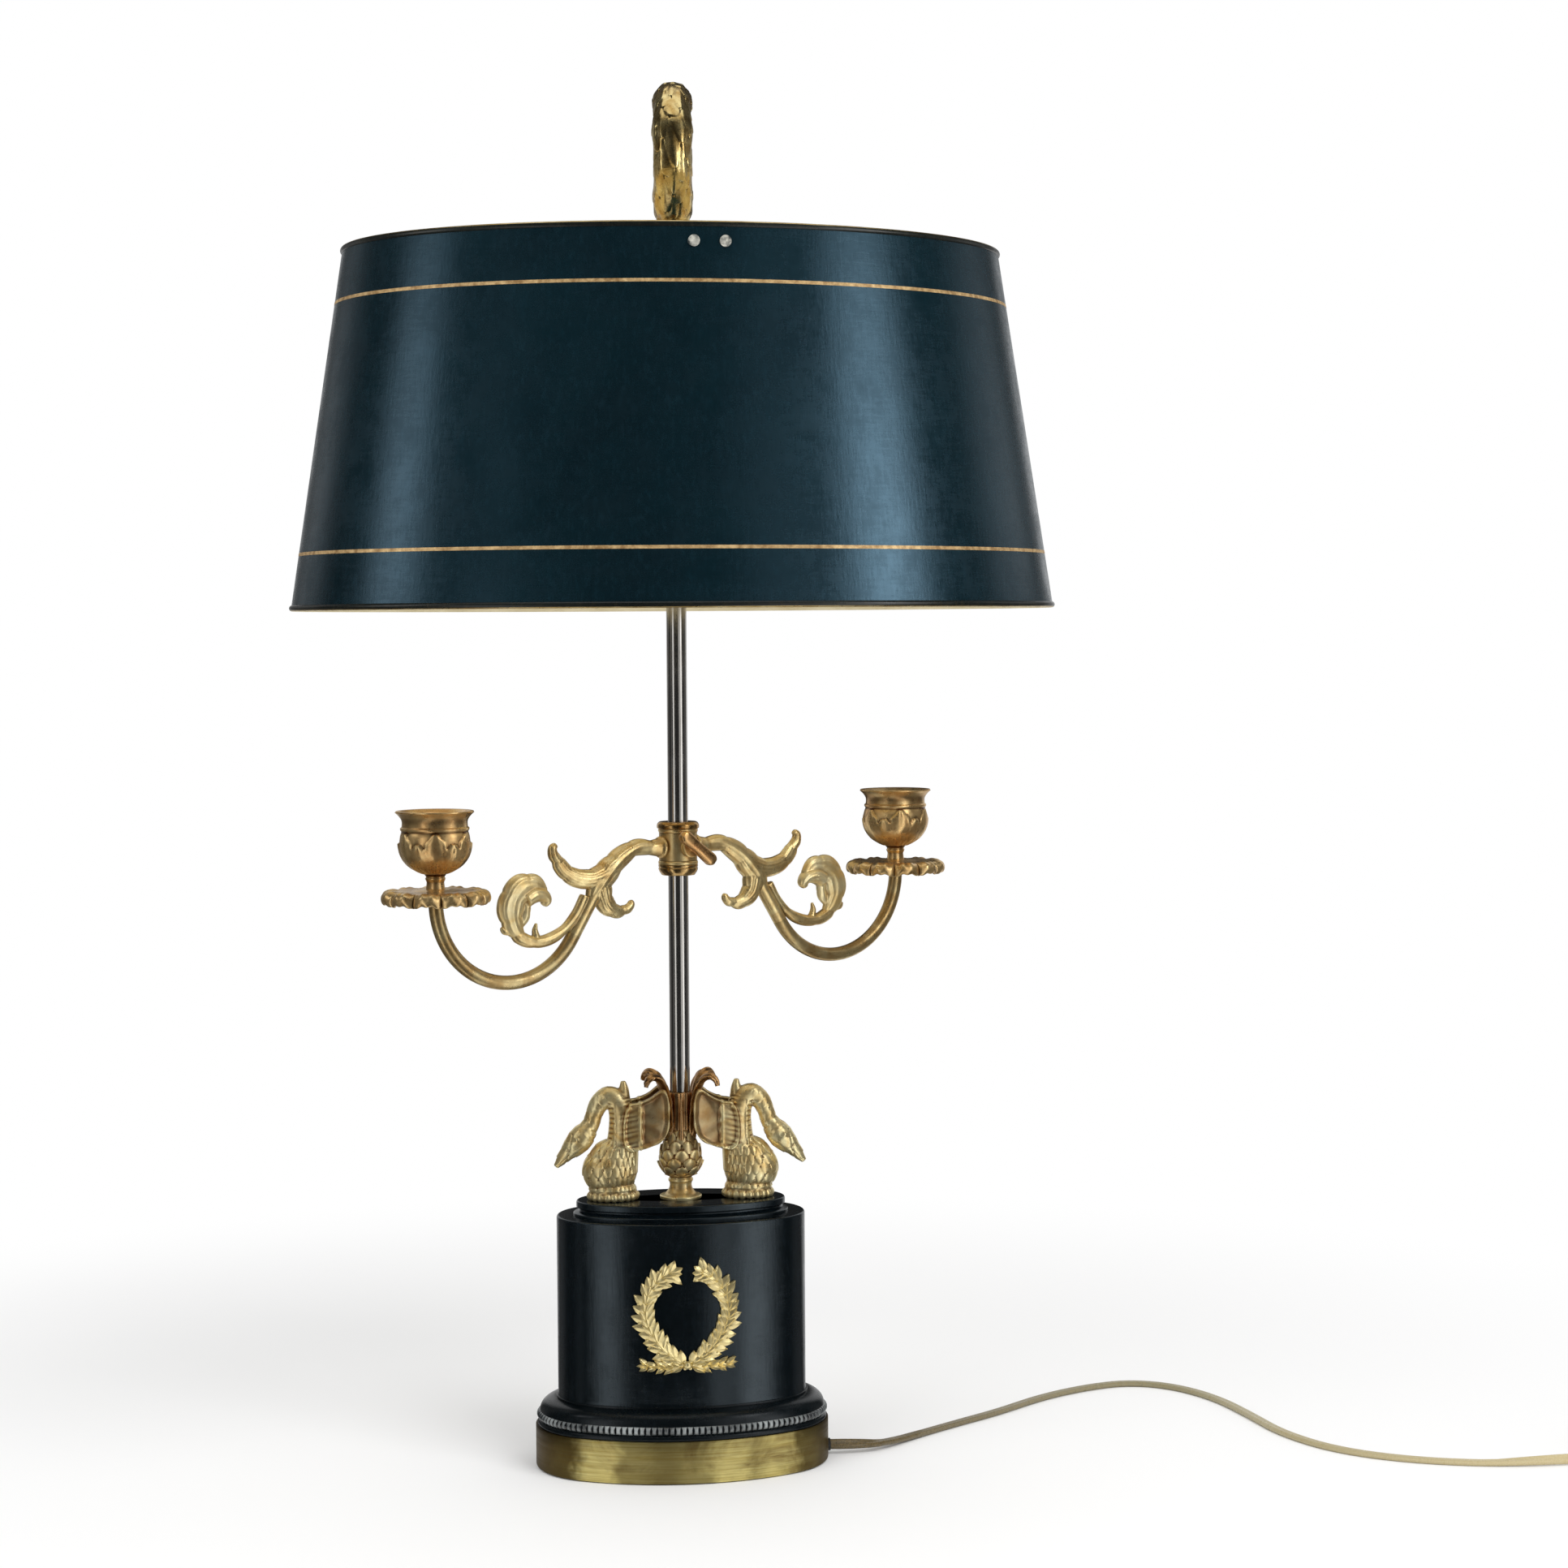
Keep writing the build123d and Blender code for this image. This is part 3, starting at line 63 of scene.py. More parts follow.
# Plans parallel to one four-centred oval: the pedestal's end arcs and its flatter side arcs.
OVAL_END_CENTRE = 36.4
OVAL_FRONT_CENTRE = 69.0
OVAL_SIDE = hypot(OVAL_END_CENTRE, OVAL_FRONT_CENTRE)
OVAL_LEAN = atan2(OVAL_FRONT_CENTRE, OVAL_END_CENTRE)
BAND_END_R = 37.3
BODY_END_R = 26.0
PLINTH_END_R = 16.1
BAND_LOW = low("base_band")[2]
BAND_TOP = high("base_band")[2]
MOULDING_TOP = high("gadroon_moulding")[2]
BODY_TOP = high("pedestal_body")[2]
PLINTH_TOP = high("plinth_cap")[2]
CONE_TOP = high("pinecone_foot")[2]
COLUMN_TOP = 187.0
ROD_R = 5.0
ROD_TOP = 614.5
SHADE_TURN = radians(3.5)
ARM_TURN = radians(31.0)
ARM_Z = 310.5
WREATH_Z = 81.4


# ================================================================ mesh helpers
def smooth_line(points, steps):
    """Curve through the points, with a number of steps between each two."""
    points = np.asarray(points, float)
    ends = np.vstack([2 * points[0] - points[1], points, 2 * points[-1] - points[-2]])
    share = np.linspace(0, 1, steps, endpoint=False)[:, None]
    spans = []
    for a, b, c, d in zip(ends, ends[1:], ends[2:], ends[3:]):
        spans.append(
            0.5 * (2 * b + (c - a) * share + (2 * a - 5 * b + 4 * c - d) * share**2
                   + (3 * b - a - 3 * c + d) * share**3)
        )
    return np.vstack(spans + [points[-1:]])


def circle(steps):
    """Angles that stand evenly round a circle."""
    return np.linspace(0, 2 * pi, steps, endpoint=False)


def spaced(values, count):
    """Evenly spaced values, interpolated to a count."""
    return np.interp(np.linspace(0, 1, count), np.linspace(0, 1, len(values)), values)


def unit(vectors):
    """Rows scaled to length 1."""
    return vectors / np.linalg.norm(vectors, axis=1, keepdims=True)


def distance_along(line):
    """How far along a line each of its points lies."""
    return np.concatenate([[0], np.cumsum(np.linalg.norm(np.diff(line, axis=0), axis=1))])


def raised(points, base):
    """(radius, height) points with their heights measured from a base."""
    return [(radius, base + height) for radius, height in points]


def shell(grid, ends=(False, False)):
    """Quads over rows of points, each row a closed ring; ends closes the outer rows."""
    rows, columns = grid.shape[:2]
    row = np.arange(rows - 1)[:, None] * columns
    column = np.arange(columns)[None, :]
    beside = (column + 1) % columns
    quads = np.stack(
        [row + column, row + beside, row + columns + beside, row + columns + column], -1
    )
    faces = quads.reshape(-1, 4).tolist()
    points = [grid.reshape(-1, 3)]
    for closed, first in zip(ends, (0, (rows - 1) * columns)):
        if closed:
            middle = sum(len(p) for p in points)
            points.append(points[0][first : first + columns].mean(0, keepdims=True))
            faces += [[first + j, first + (j + 1) % columns, middle] for j in range(columns)]
    return np.vstack(points), faces


def placed(part, turn=0.0, move=(0, 0, 0), mirror=False):
    """A shell mirrored across YZ, turned about Z and moved."""
    points, faces = part
    points = points * ((-1, 1, 1) if mirror else (1, 1, 1))
    c, s = cos(turn), sin(turn)
    points = points @ np.array([[c, s, 0], [-s, c, 0], [0, 0, 1]]) + np.array(move)
    return points, faces


def lathe(profile, steps=96, swell=None):
    """Turned surface of (radius, height) points; swell changes radii by (row, angle)."""
    profile = np.asarray(profile, float)
    angle = np.linspace(0, 2 * pi, steps, endpoint=False)
    radius = np.repeat(profile[:, :1], steps, axis=1)
    height = np.repeat(profile[:, 1:2], steps, axis=1)
    if swell is not None:
        radius, height = swell(radius, height, angle[None, :])
    grid = np.stack([radius * np.cos(angle), radius * np.sin(angle), height], -1)
    return shell(grid)


def oval_angles(steps, end_radius):
    """Normal angles of points that stand evenly along an oval."""
    end_arc = 2 * OVAL_LEAN * end_radius
    side_arc = (pi - 2 * OVAL_LEAN) * (end_radius + OVAL_SIDE)
    marks = np.cumsum([0, end_arc, side_arc, end_arc, side_arc])
    angles = np.array([-OVAL_LEAN, OVAL_LEAN, pi - OVAL_LEAN, pi + OVAL_LEAN, 2 * pi - OVAL_LEAN])
    return np.interp(np.linspace(0, marks[-1], steps, endpoint=False), marks, angles)


def oval_points(angle, end_radius):
    """Points of an oval, from their normal angles and its end radius, as (x, y) arrays."""
    on_end = np.abs(np.sin(angle)) <= sin(OVAL_LEAN) + 1e-9
    radius = np.where(on_end, end_radius, end_radius + OVAL_SIDE)
    x0 = np.where(on_end, OVAL_END_CENTRE * np.sign(np.cos(angle)), 0)
    y0 = np.where(on_end, 0, -OVAL_FRONT_CENTRE * np.sign(np.sin(angle)))
    return x0 + radius * np.cos(angle), y0 + radius * np.sin(angle)


def oval_loft(profile, steps=480, swell=None):
    """Surface of (end radius, height) points all round the oval."""
    profile = np.asarray(profile, float)
    angle = oval_angles(steps, profile[:, 0].max())[None, :]
    radius = np.repeat(profile[:, :1], steps, axis=1)
    height = np.repeat(profile[:, 1:2], steps, axis=1)
    if swell is not None:
        radius, height = swell(radius, height, np.arange(steps)[None, :] / steps)
    x, y = oval_points(np.repeat(angle, len(profile), axis=0), radius)
    return shell(np.stack([x, y, height], -1))


def sweep(path, sections):
    """Sections of (side, up) offsets carried along a path, with Y to their side."""
    path = np.asarray(path, float)
    tangent = unit(np.gradient(path, axis=0))
    up = unit(np.cross(tangent, (0.0, 1.0, 0.0)))
    across = np.cross(up, tangent)
    grid = path[:, None] + sections[..., :1] * across[:, None] + sections[..., 1:] * up[:, None]
    return shell(grid, ends=(True, True))


def round_sections(radii, steps, flat=1.0):
    """Circles, or ellipses with flat as their up-to-side ratio, for sweep."""
    angle = circle(steps)
    radii = np.asarray(radii, float)[:, None]
    return np.stack([radii * np.cos(angle), radii * np.sin(angle) * flat], -1)


def squircle(angle, power):
    """Radius of a rounded square at each angle."""
    return (np.abs(np.cos(angle)) ** power + np.abs(np.sin(angle)) ** power) ** (-1 / power)


SHARP_ANGLE = 35.0
FUSED_SHARP_ANGLE = 60.0


def piece(name, material, body, *shells, nodes=(), worn=0.0):
    """Mesh object of joined shells, riding on a body and standing for CAD nodes."""
    points = np.vstack([part[0] for part in shells]) * MM
    faces = []
    start = 0
    for part_points, part_faces in shells:
        faces += [[index + start for index in face] for face in part_faces]
        start += len(part_points)
    mesh = bpy.data.meshes.new(name)
    mesh.from_pydata(points.tolist(), [], faces)
    work = bmesh.new()
    work.from_mesh(mesh)
    bmesh.ops.remove_doubles(work, verts=work.verts, dist=1e-6)
    bmesh.ops.dissolve_degenerate(work, edges=work.edges, dist=1e-7)
    bmesh.ops.recalc_face_normals(work, faces=work.faces)
    work.to_mesh(mesh)
    work.free()
    obj = bpy.data.objects.new(name, mesh)
    bpy.context.scene.collection.objects.link(obj)
    mesh.materials.append(material)
    finish_surface(obj, SHARP_ANGLE, worn)
    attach(obj, body)
    if nodes:
        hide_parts(*nodes)
    return obj


def vertex_vectors(mesh, name):
    """The places or the normals of a mesh's points, one row for each."""
    values = np.empty(len(mesh.vertices) * 3)
    mesh.vertices.foreach_get(name, values)
    return values.reshape(-1, 3)


def finish_surface(obj, sharp, worn):
    """Smooth shading with sharp edges kept, and how far each point stands proud as wear."""
    mesh = obj.data
    mesh.polygons.foreach_set("use_smooth", [True] * len(mesh.polygons))
    mesh.set_sharp_from_angle(angle=radians(sharp))
    if not worn:
        return
    count = len(mesh.vertices)
    points = vertex_vectors(mesh, "co") / MM
    edges = np.empty(len(mesh.edges) * 2, dtype=np.int64)
    mesh.edges.foreach_get("vertices", edges)
    a, b = edges.reshape(-1, 2).T
    degree = np.maximum(np.bincount(a, minlength=count) + np.bincount(b, minlength=count), 1)
    soft = points.copy()
    for _ in range(14):
        total = np.stack(
            [np.bincount(a, soft[b, k], count) + np.bincount(b, soft[a, k], count)
             for k in range(3)], -1
        )
        soft = 0.4 * soft + 0.6 * total / degree[:, None]
    proud = ((points - soft) * vertex_vectors(mesh, "normal")).sum(1)
    wear = np.clip(0.5 + proud / (2 * worn), 0, 1)
    mesh.attributes.new("wear", "FLOAT", "POINT").data.foreach_set("value", wear)


def fused(obj, voxel, worn, displace=None):
    """Make a piece of overlapping shells one cast skin, and displace it along its normals."""
    remesh = obj.modifiers.new("fuse", "REMESH")
    remesh.mode = "VOXEL"
    remesh.voxel_size = voxel * MM
    remesh.use_smooth_shade = True
    settle = obj.modifiers.new("settle", "SMOOTH")
    settle.factor = 0.5
    settle.iterations = 2
    graph = bpy.context.evaluated_depsgraph_get()
    mesh = bpy.data.meshes.new_from_object(obj.evaluated_get(graph))
    obj.modifiers.clear()
    old = obj.data
    obj.data = mesh
    bpy.data.meshes.remove(old)
    if displace is not None:
        points = vertex_vectors(mesh, "co") / MM
        points = points + vertex_vectors(mesh, "normal") * displace(points)[:, None]
        mesh.vertices.foreach_set("co", (points * MM).ravel())
        mesh.update()
    finish_surface(obj, FUSED_SHARP_ANGLE, worn)


def tone_down(obj, share_at):
    """Brown the lacquer of a piece: share_at gives each point's share of its wear to keep."""
    mesh = obj.data
    wear = np.empty(len(mesh.vertices))
    layer = mesh.attributes["wear"].data
    layer.foreach_get("value", wear)
    layer.foreach_set("value", wear * share_at(vertex_vectors(mesh, "co") / MM))


def scales(across, along, reach):
    """Height, 0 to 1, of round-tipped overlapping scales in rows, tips towards +along."""
    height = np.zeros_like(across)
    for back in (0, 1):
        row = np.floor(along) - back
        beside = across - 0.5 * (row % 2)
        off = beside - np.round(beside)
        out = (along - row) / reach
        half = 0.52 * np.sqrt(np.clip(1 - out**2.5, 0, 1)) + 1e-6
        rise = (0.35 + 0.65 * out) * np.sqrt(np.clip(1 - 0.6 * (off / half) ** 2, 0, 1))
        height = np.where(np.abs(off) < half, np.maximum(height, rise), height)
    return height


# ================================================================ materials
def ink(red, green, blue):
    """Linear colour of a 0-255 screen colour."""
    channels = []
    for value in (red, green, blue):
        share = value / 255
        channels.append(share / 12.92 if share <= 0.04045 else ((share + 0.055) / 1.055) ** 2.4)
    return (*channels, 1.0)


def join(tree, value, socket):
    """Set a socket to a value, or join it to another node's output."""
    if isinstance(value, bpy.types.NodeSocket):
        tree.links.new(value, socket)
    else:
        socket.default_value = value


def new_node(tree, kind, sockets, **settings):
    """Shader node with its settings, and its sockets set or joined to other nodes."""
    node = tree.nodes.new("ShaderNode" + kind)
    for name, value in settings.items():
        setattr(node, name, value)
    for name, value in sockets.items():
        join(tree, value, node.inputs[name])
    return node


class Finish:
    """A material's node tree, with short calls for the nodes that the finishes share."""

    def __init__(self, name, metallic=0.0, specular=0.5):
        """Principled material with its places read in the object's own coordinates."""
        self.material = bpy.data.materials.new(name)
        self.material.use_nodes = True
        self.tree = self.material.node_tree
        self.shader = self.tree.nodes["Principled BSDF"]
        self.set("Metallic", metallic)
        self.set("Specular IOR Level", specular)
        self.place = new_node(self.tree, "TexCoord", {}).outputs["Object"]

    def set(self, name, value):
        """Set or join one of the shader's sockets."""
        join(self.tree, value, self.shader.inputs[name])

    def noise(self, scale, detail, rough, stretch=(1, 1, 1), warp=0.0):
        """Noise of a scale in features per metre, squeezed along the axes by stretch."""
        mapping = new_node(self.tree, "Mapping", {"Vector": self.place, "Scale": stretch})
        return new_node(self.tree, "TexNoise", {
            "Vector": mapping.outputs["Vector"], "Scale": scale, "Detail": detail,
            "Roughness": rough, "Distortion": warp,
        }).outputs["Fac"]

    def spread(self, value, low_in, high_in, low_out=0.0, high_out=1.0):
        """Straight, clamped change of a value's range."""
        return new_node(self.tree, "MapRange", {
            "Value": value, "From Min": low_in, "From Max": high_in, "To Min": low_out,
            "To Max": high_out,
        }).outputs["Result"]

    def mottle(self, scale, detail, *ranges, rough=0.6, **shape):
        """Noise spread over a range."""
        return self.spread(self.noise(scale, detail, rough, **shape), *ranges)

    def math(self, operation, first, second):
        """One arithmetic step."""
        sockets = {0: first, 1: second}
        return new_node(self.tree, "Math", sockets, operation=operation).outputs["Value"]

    def mix(self, share, first, second):
        """Colour between two."""
        sockets = {"Factor": share, "A": first, "B": second}
        return new_node(self.tree, "Mix", sockets, data_type="RGBA").outputs["Result"]

    def attribute(self, name):
        """A value that the mesh carries at its points."""
        return new_node(self.tree, "Attribute", {}, attribute_name=name).outputs["Fac"]

    def bump(self, height, depth):
        """Fine relief, depth in millimetres, over the relief set before."""
        node = new_node(self.tree, "Bump", {"Distance": depth * MM, "Height": height})
        if self.shader.inputs["Normal"].is_linked:
            before = self.shader.inputs["Normal"].links[0].from_socket
            join(self.tree, before, node.inputs["Normal"])
        self.set("Normal", node.outputs["Normal"])


def cast_brass(name, dark, base, bright, polish=(0.22, 0.42), recess=True, grain=0.05,
               specks=0.3, metallic=1.0):
    """Antiqued cast brass: dark in its recesses, bright on its edges, unevenly lacquered."""
    dark, base, bright = ink(*dark), ink(*base), ink(*bright)
    finish = Finish(name, metallic)
    tone = finish.mix(finish.mottle(95, 5, 0.36, 0.66, warp=0.6), base, bright)
    spots = finish.math("MULTIPLY", finish.mottle(620, 3, 0.56, 0.74), specks)
    tone = finish.mix(spots, tone, dark)
    if recess:
        wear = finish.attribute("wear")
        tone = finish.mix(finish.spread(wear, 0.52, 0.08), tone, dark)
        tone = finish.mix(finish.spread(wear, 0.62, 0.95, 0.0, 0.8), tone, bright)
    finish.set("Base Color", tone)
    finish.set("Roughness", finish.mottle(240, 4, 0.3, 0.75, *polish))
    finish.bump(finish.noise(900, 4, 0.65), grain)
    return finish.material


def enamel(name, deep, base, sheen, polish, specular, tint, weave):
    """Hand-painted glossy enamel over metal, mottled and finely streaked both ways."""
    finish = Finish(name, specular=specular)
    finish.set("Specular Tint", (*tint, 1.0))
    clouds = finish.mottle(16, 6, 0.3, 0.72, rough=0.62, warp=0.5)
    tone = finish.mix(clouds, ink(*deep), ink(*base))
    fine = finish.mottle(420, 4, 0.5, 0.78, rough=0.7, stretch=(1, 1, 0.45))
    finish.set("Base Color", finish.mix(finish.math("MULTIPLY", fine, 0.35), tone, ink(*sheen)))
    across = finish.noise(640, 4, 0.75, stretch=(0.14, 0.14, 1))
    upright = finish.noise(640, 4, 0.75, stretch=(1, 1, 0.1))
    threads = finish.math("ADD", across, upright)
    cloudy = finish.noise(48, 6, 0.66)
    uneven = finish.math("ADD", finish.math("MULTIPLY", threads, 0.5), cloudy)
    finish.set("Roughness", finish.spread(uneven, 0.7, 1.3, *polish))
    finish.bump(threads, weave)
    finish.bump(finish.noise(70, 4, 0.6), 1.6 * weave)
    return finish.material


def glinting_bead_enamel():
    """Black paint on the gadroons, with a pale painted highlight on their crests."""
    finish = Finish("bead_enamel", specular=0.9)
    painted_glint = finish.math("MULTIPLY", finish.spread(finish.attribute("wear"), 0.78, 1.0),
                         finish.mottle(45, 4, 0.4, 0.62, 0.05, 0.75))
    paint = finish.mix(finish.mottle(300, 4, 0.3, 0.7), ink(6, 10, 12), ink(16, 22, 26))
    # Painted highlight: the crests are mixed towards pale grey where the lamps would glint.
    finish.set("Base Color", finish.mix(painted_glint, paint, ink(168, 174, 174)))
    finish.set("Roughness", finish.mottle(400, 3, 0.3, 0.7, 0.1, 0.26))
    finish.bump(finish.noise(700, 3, 0.6), 0.01)
    return finish.material


# Painted reflection on the band, from left to right: (place in mm, how dark it is painted).
# Dark zones are a dark room painted as mirrored in the band, clear zones the studio lamps.
BAND_REFLECTION_STOPS = (
    (-75, 1.0), (-58, 0.95), (-49, 0.1), (-39, 0.0), (-30, 0.62), (-12, 0.8), (6, 0.62),
    (17, 0.0), (26, 0.04), (33, 0.35), (42, 0.0), (50, 0.15), (58, 0.85), (75, 1.0),
)
BAND_REFLECTION_HALF = 80.0


def band_painted_reflection(finish):
    """Soft upright zones of painted reflection along X, with wandering edges."""
    split = new_node(finish.tree, "SeparateXYZ", {"Vector": finish.place})
    wander = finish.mottle(70, 3, 0.3, 0.7, -0.004, 0.004)
    place = finish.math("ADD", split.outputs["X"], wander)
    across = finish.spread(place, -BAND_REFLECTION_HALF * MM, BAND_REFLECTION_HALF * MM)
    node = new_node(finish.tree, "ValToRGB", {"Fac": across})
    node.color_ramp.interpolation = "EASE"
    stops = node.color_ramp.elements
    while len(stops) < len(BAND_REFLECTION_STOPS):
        stops.new(0.5)
    for stop, (spot, reflection_dark) in zip(stops, BAND_REFLECTION_STOPS):
        stop.position = 0.5 + spot / (2 * BAND_REFLECTION_HALF)
        stop.color = (reflection_dark, reflection_dark, reflection_dark, 1.0)
    return node.outputs["Color"]


def brushed_band():
    """Spun and brushed band: olive-gold lacquer with streaks round it, brownish stains, and painted
    reflection.
    """
    finish = Finish("brushed_band", metallic=1.0)
    streaks = finish.noise(900, 4, 0.65, stretch=(0.03, 0.03, 1))
    tone = finish.mix(finish.spread(streaks, 0.3, 0.7), ink(182, 162, 90), ink(234, 222, 152))
    stain = finish.mottle(30, 5, 0.46, 0.74, rough=0.62, stretch=(1, 1, 1.4), warp=1.1)
    stripes = finish.mottle(260, 3, 0.25, 0.6, stretch=(0.05, 0.05, 1))
    tone = finish.mix(finish.math("MULTIPLY", stain, stripes), tone, ink(96, 66, 30))
    # Painted reflection: the band is mixed towards this dark umber where a dark room would mirror
    # in it.
    finish.set("Base Color", finish.mix(band_painted_reflection(finish), tone, ink(72, 58, 28)))
    finish.set("Roughness", finish.spread(streaks, 0.3, 0.7, 0.3, 0.46))
    finish.set("Anisotropic", 0.85)
    round_it = new_node(finish.tree, "Tangent", {}, direction_type="RADIAL", axis="Z")
    finish.set("Tangent", round_it.outputs["Tangent"])
    finish.bump(streaks, 0.02)
    return finish.material


def polished_rod():
    """Nickel-grey drawn rod with faint lengthwise scratches."""
    finish = Finish("polished_rod", metallic=1.0)
    lines = finish.noise(1500, 3, 0.6, stretch=(1, 1, 0.01))
    tone = finish.mix(finish.spread(lines, 0.35, 0.7), ink(176, 172, 166), ink(214, 212, 208))
    tarnish = finish.mottle(22, 5, 0.52, 0.75, 0.0, 0.55)
    finish.set("Base Color", finish.mix(tarnish, tone, ink(132, 122, 108)))
    finish.set("Roughness", finish.mottle(90, 4, 0.3, 0.7, 0.1, 0.2))
    finish.bump(lines, 0.008)
    return finish.material


def simple_finish(name, first, second, scale, polish, depth, metallic=0.0, specular=0.5):
    """Two-tone finish with grain, for felt, iron, plastic and small fittings."""
    finish = Finish(name, metallic, specular)
    finish.set("Base Color",
               finish.mix(finish.mottle(scale, 5, 0.35, 0.65), ink(*first), ink(*second)))
    finish.set("Roughness", finish.mottle(scale * 1.7, 4, 0.3, 0.7, *polish))
    finish.bump(finish.noise(scale * 3, 4, 0.65), depth)
    return finish.material


def frosted_glass():
    """Bulb glass, frosted from inside."""
    finish = Finish("bulb_glass")
    finish.set("Base Color",
               finish.mix(finish.noise(60, 3, 0.5), ink(236, 234, 228), ink(248, 247, 243)))
    finish.set("Roughness", finish.mottle(400, 3, 0.3, 0.7, 0.28, 0.4))
    finish.set("Transmission Weight", 0.45)
    return finish.material


def gold_flex():
    """Gold twin flex with painted shadow darkening it near the lamp, and the strands showing
    faintly.
    """
    finish = Finish("gold_flex")
    reach = finish.attribute("reach")
    # Painted shadow: the flex runs from this dark olive by the lamp to pale gold further along.
    painted_shadow_tone = finish.mix(finish.spread(reach, 0.0, 0.16), ink(58, 52, 36), ink(150, 146, 118))
    painted_shadow_tone = finish.mix(finish.spread(reach, 0.14, 0.3), painted_shadow_tone, ink(206, 192, 150))
    strands = finish.mottle(1400, 3, 0.3, 0.7, 0.0, 0.35)
    finish.set("Base Color", finish.mix(strands, painted_shadow_tone, ink(170, 140, 84)))
    finish.set("Roughness", finish.mottle(260, 3, 0.3, 0.7, 0.22, 0.4))
    finish.bump(finish.noise(700, 3, 0.6), 0.03)
    return finish.material


TOLE = enamel("pedestal_enamel", (2, 6, 8), (6, 12, 16), (20, 30, 38), (0.13, 0.34), 0.62,
              (0.75, 0.9, 1.0), 0.04)
MOULDING_PAINT = enamel("moulding_enamel", (4, 8, 10), (10, 16, 19), (24, 32, 36), (0.16, 0.34),
                        0.3, (0.9, 0.95, 1.0), 0.03)
SHADE_PAINT = enamel("shade_enamel", (4, 20, 25), (8, 29, 35), (18, 44, 54), (0.15, 0.38), 0.9,
                     (0.42, 0.74, 1.0), 0.055)
RIM_PAINT = enamel("rim_enamel", (12, 16, 14), (22, 26, 22), (60, 52, 30), (0.2, 0.4), 0.5,
                   (1.0, 1.0, 1.0), 0.03)
# Gadroon paint with painted highlights on its crests.
BEAD_PAINT = glinting_bead_enamel()
BRASS = cast_brass("antique_brass", (78, 48, 22), (214, 178, 116), (248, 226, 166),
                   polish=(0.24, 0.44), specks=0.15, metallic=0.9)
COPPERY = cast_brass("coppery_brass", (66, 38, 20), (186, 132, 84), (226, 182, 122),
                     polish=(0.2, 0.38))
TURNED_BRASS = cast_brass("turned_brass", (58, 38, 16), (168, 130, 78), (214, 180, 122),
                          polish=(0.16, 0.32), recess=False, grain=0.02)
GILT = cast_brass("worn_gilt", (60, 50, 28), (190, 160, 98), (226, 204, 150), recess=False,
                  grain=0.03)
RING_METAL = cast_brass("ring_brass", (46, 30, 12), (192, 154, 84), (248, 228, 164),
                        polish=(0.16, 0.34), grain=0.06)
SCROLL_GOLD = cast_brass("pale_scroll", (150, 108, 52), (236, 204, 136), (250, 234, 184),
                         polish=(0.28, 0.48), specks=0.12, metallic=0.84)
CUP_METAL = cast_brass("cup_brass", (92, 58, 30), (208, 164, 106), (238, 206, 146),
                       specks=0.25, metallic=0.92)
PAN_METAL = cast_brass("pan_brass", (84, 56, 28), (204, 164, 106), (238, 208, 150),
                       specks=0.25, metallic=0.92)
SWAN_GILT = cast_brass("swan_gilt", (112, 64, 30), (224, 190, 122), (252, 238, 184),
                       polish=(0.24, 0.44), specks=0.15, metallic=0.86)
# The crown is darker than the other brass: partly its own bronze colour, partly painted shade.
CROWN_SHADED_BRONZE = cast_brass("crown_shaded_bronze", (44, 28, 16), (146, 106, 68), (204, 162, 112),
                          polish=(0.22, 0.4), specks=0.4)
WREATH_GILT = cast_brass("wreath_gilt", (110, 74, 28), (222, 188, 112), (250, 232, 172),
                         polish=(0.24, 0.44), metallic=0.9)
BAND_METAL = brushed_band()
ROD_METAL = polished_rod()
SHADE_INSIDE = simple_finish("shade_inside", (214, 200, 160), (232, 220, 186), 40, (0.4, 0.6),
                             0.02)
STRIPE_GOLD = simple_finish("stripe_gold", (150, 116, 72), (214, 182, 130), 300, (0.35, 0.55),
                            0.01, 0.35)
WORN_RIVET = simple_finish("worn_rivet", (16, 30, 36), (196, 194, 182), 380, (0.25, 0.5), 0.03)
IRON = simple_finish("cast_iron", (42, 42, 44), (64, 62, 60), 300, (0.6, 0.85), 0.2, 0.6)
FELT = simple_finish("felt", (14, 30, 20), (28, 50, 34), 900, (0.9, 1.0), 0.15, 0, 0.1)
PHENOLIC = simple_finish("black_phenolic", (16, 15, 14), (28, 26, 24), 260, (0.3, 0.5), 0.02)
CAP_METAL = simple_finish("cap_metal", (170, 172, 176), (206, 206, 208), 160, (0.25, 0.45), 0.02,
                          1.0)
PLUG_PLASTIC = simple_finish("plug_plastic", (176, 152, 96), (196, 174, 120), 200, (0.3, 0.45),
                             0.03)
GLASS = frosted_glass()
FLEX = gold_flex()


def give(material, *nodes):
    """Put a material on carried CAD nodes, through their material slots."""
    for node in nodes:
        for slot in bpy.data.objects[node].material_slots:
            slot.material = material


# ================================================================ profiles
ROUND_STEPS = 6


def rounded(corner, before, after, radius):
    """Points that round a profile's corner."""
    corner, before, after = (np.asarray(p, float) for p in (corner, before, after))
    start = corner + (before - corner) / np.linalg.norm(before - corner) * radius
    stop = corner + (after - corner) / np.linalg.norm(after - corner) * radius
    share = np.linspace(0, 1, ROUND_STEPS + 1)[:, None]
    return (1 - share) ** 2 * start + 2 * share * (1 - share) * corner + share**2 * stop


def softened(points, radii):
    """Profile with each inner corner rounded to its radius."""
    out = [np.asarray(points[:1], float)]
    for before, corner, after, radius in zip(points, points[1:], points[2:], radii):
        out.append(rounded(corner, before, after, radius) if radius else np.array([corner], float))
    out.append(np.asarray(points[-1:], float))
    return np.vstack(out)


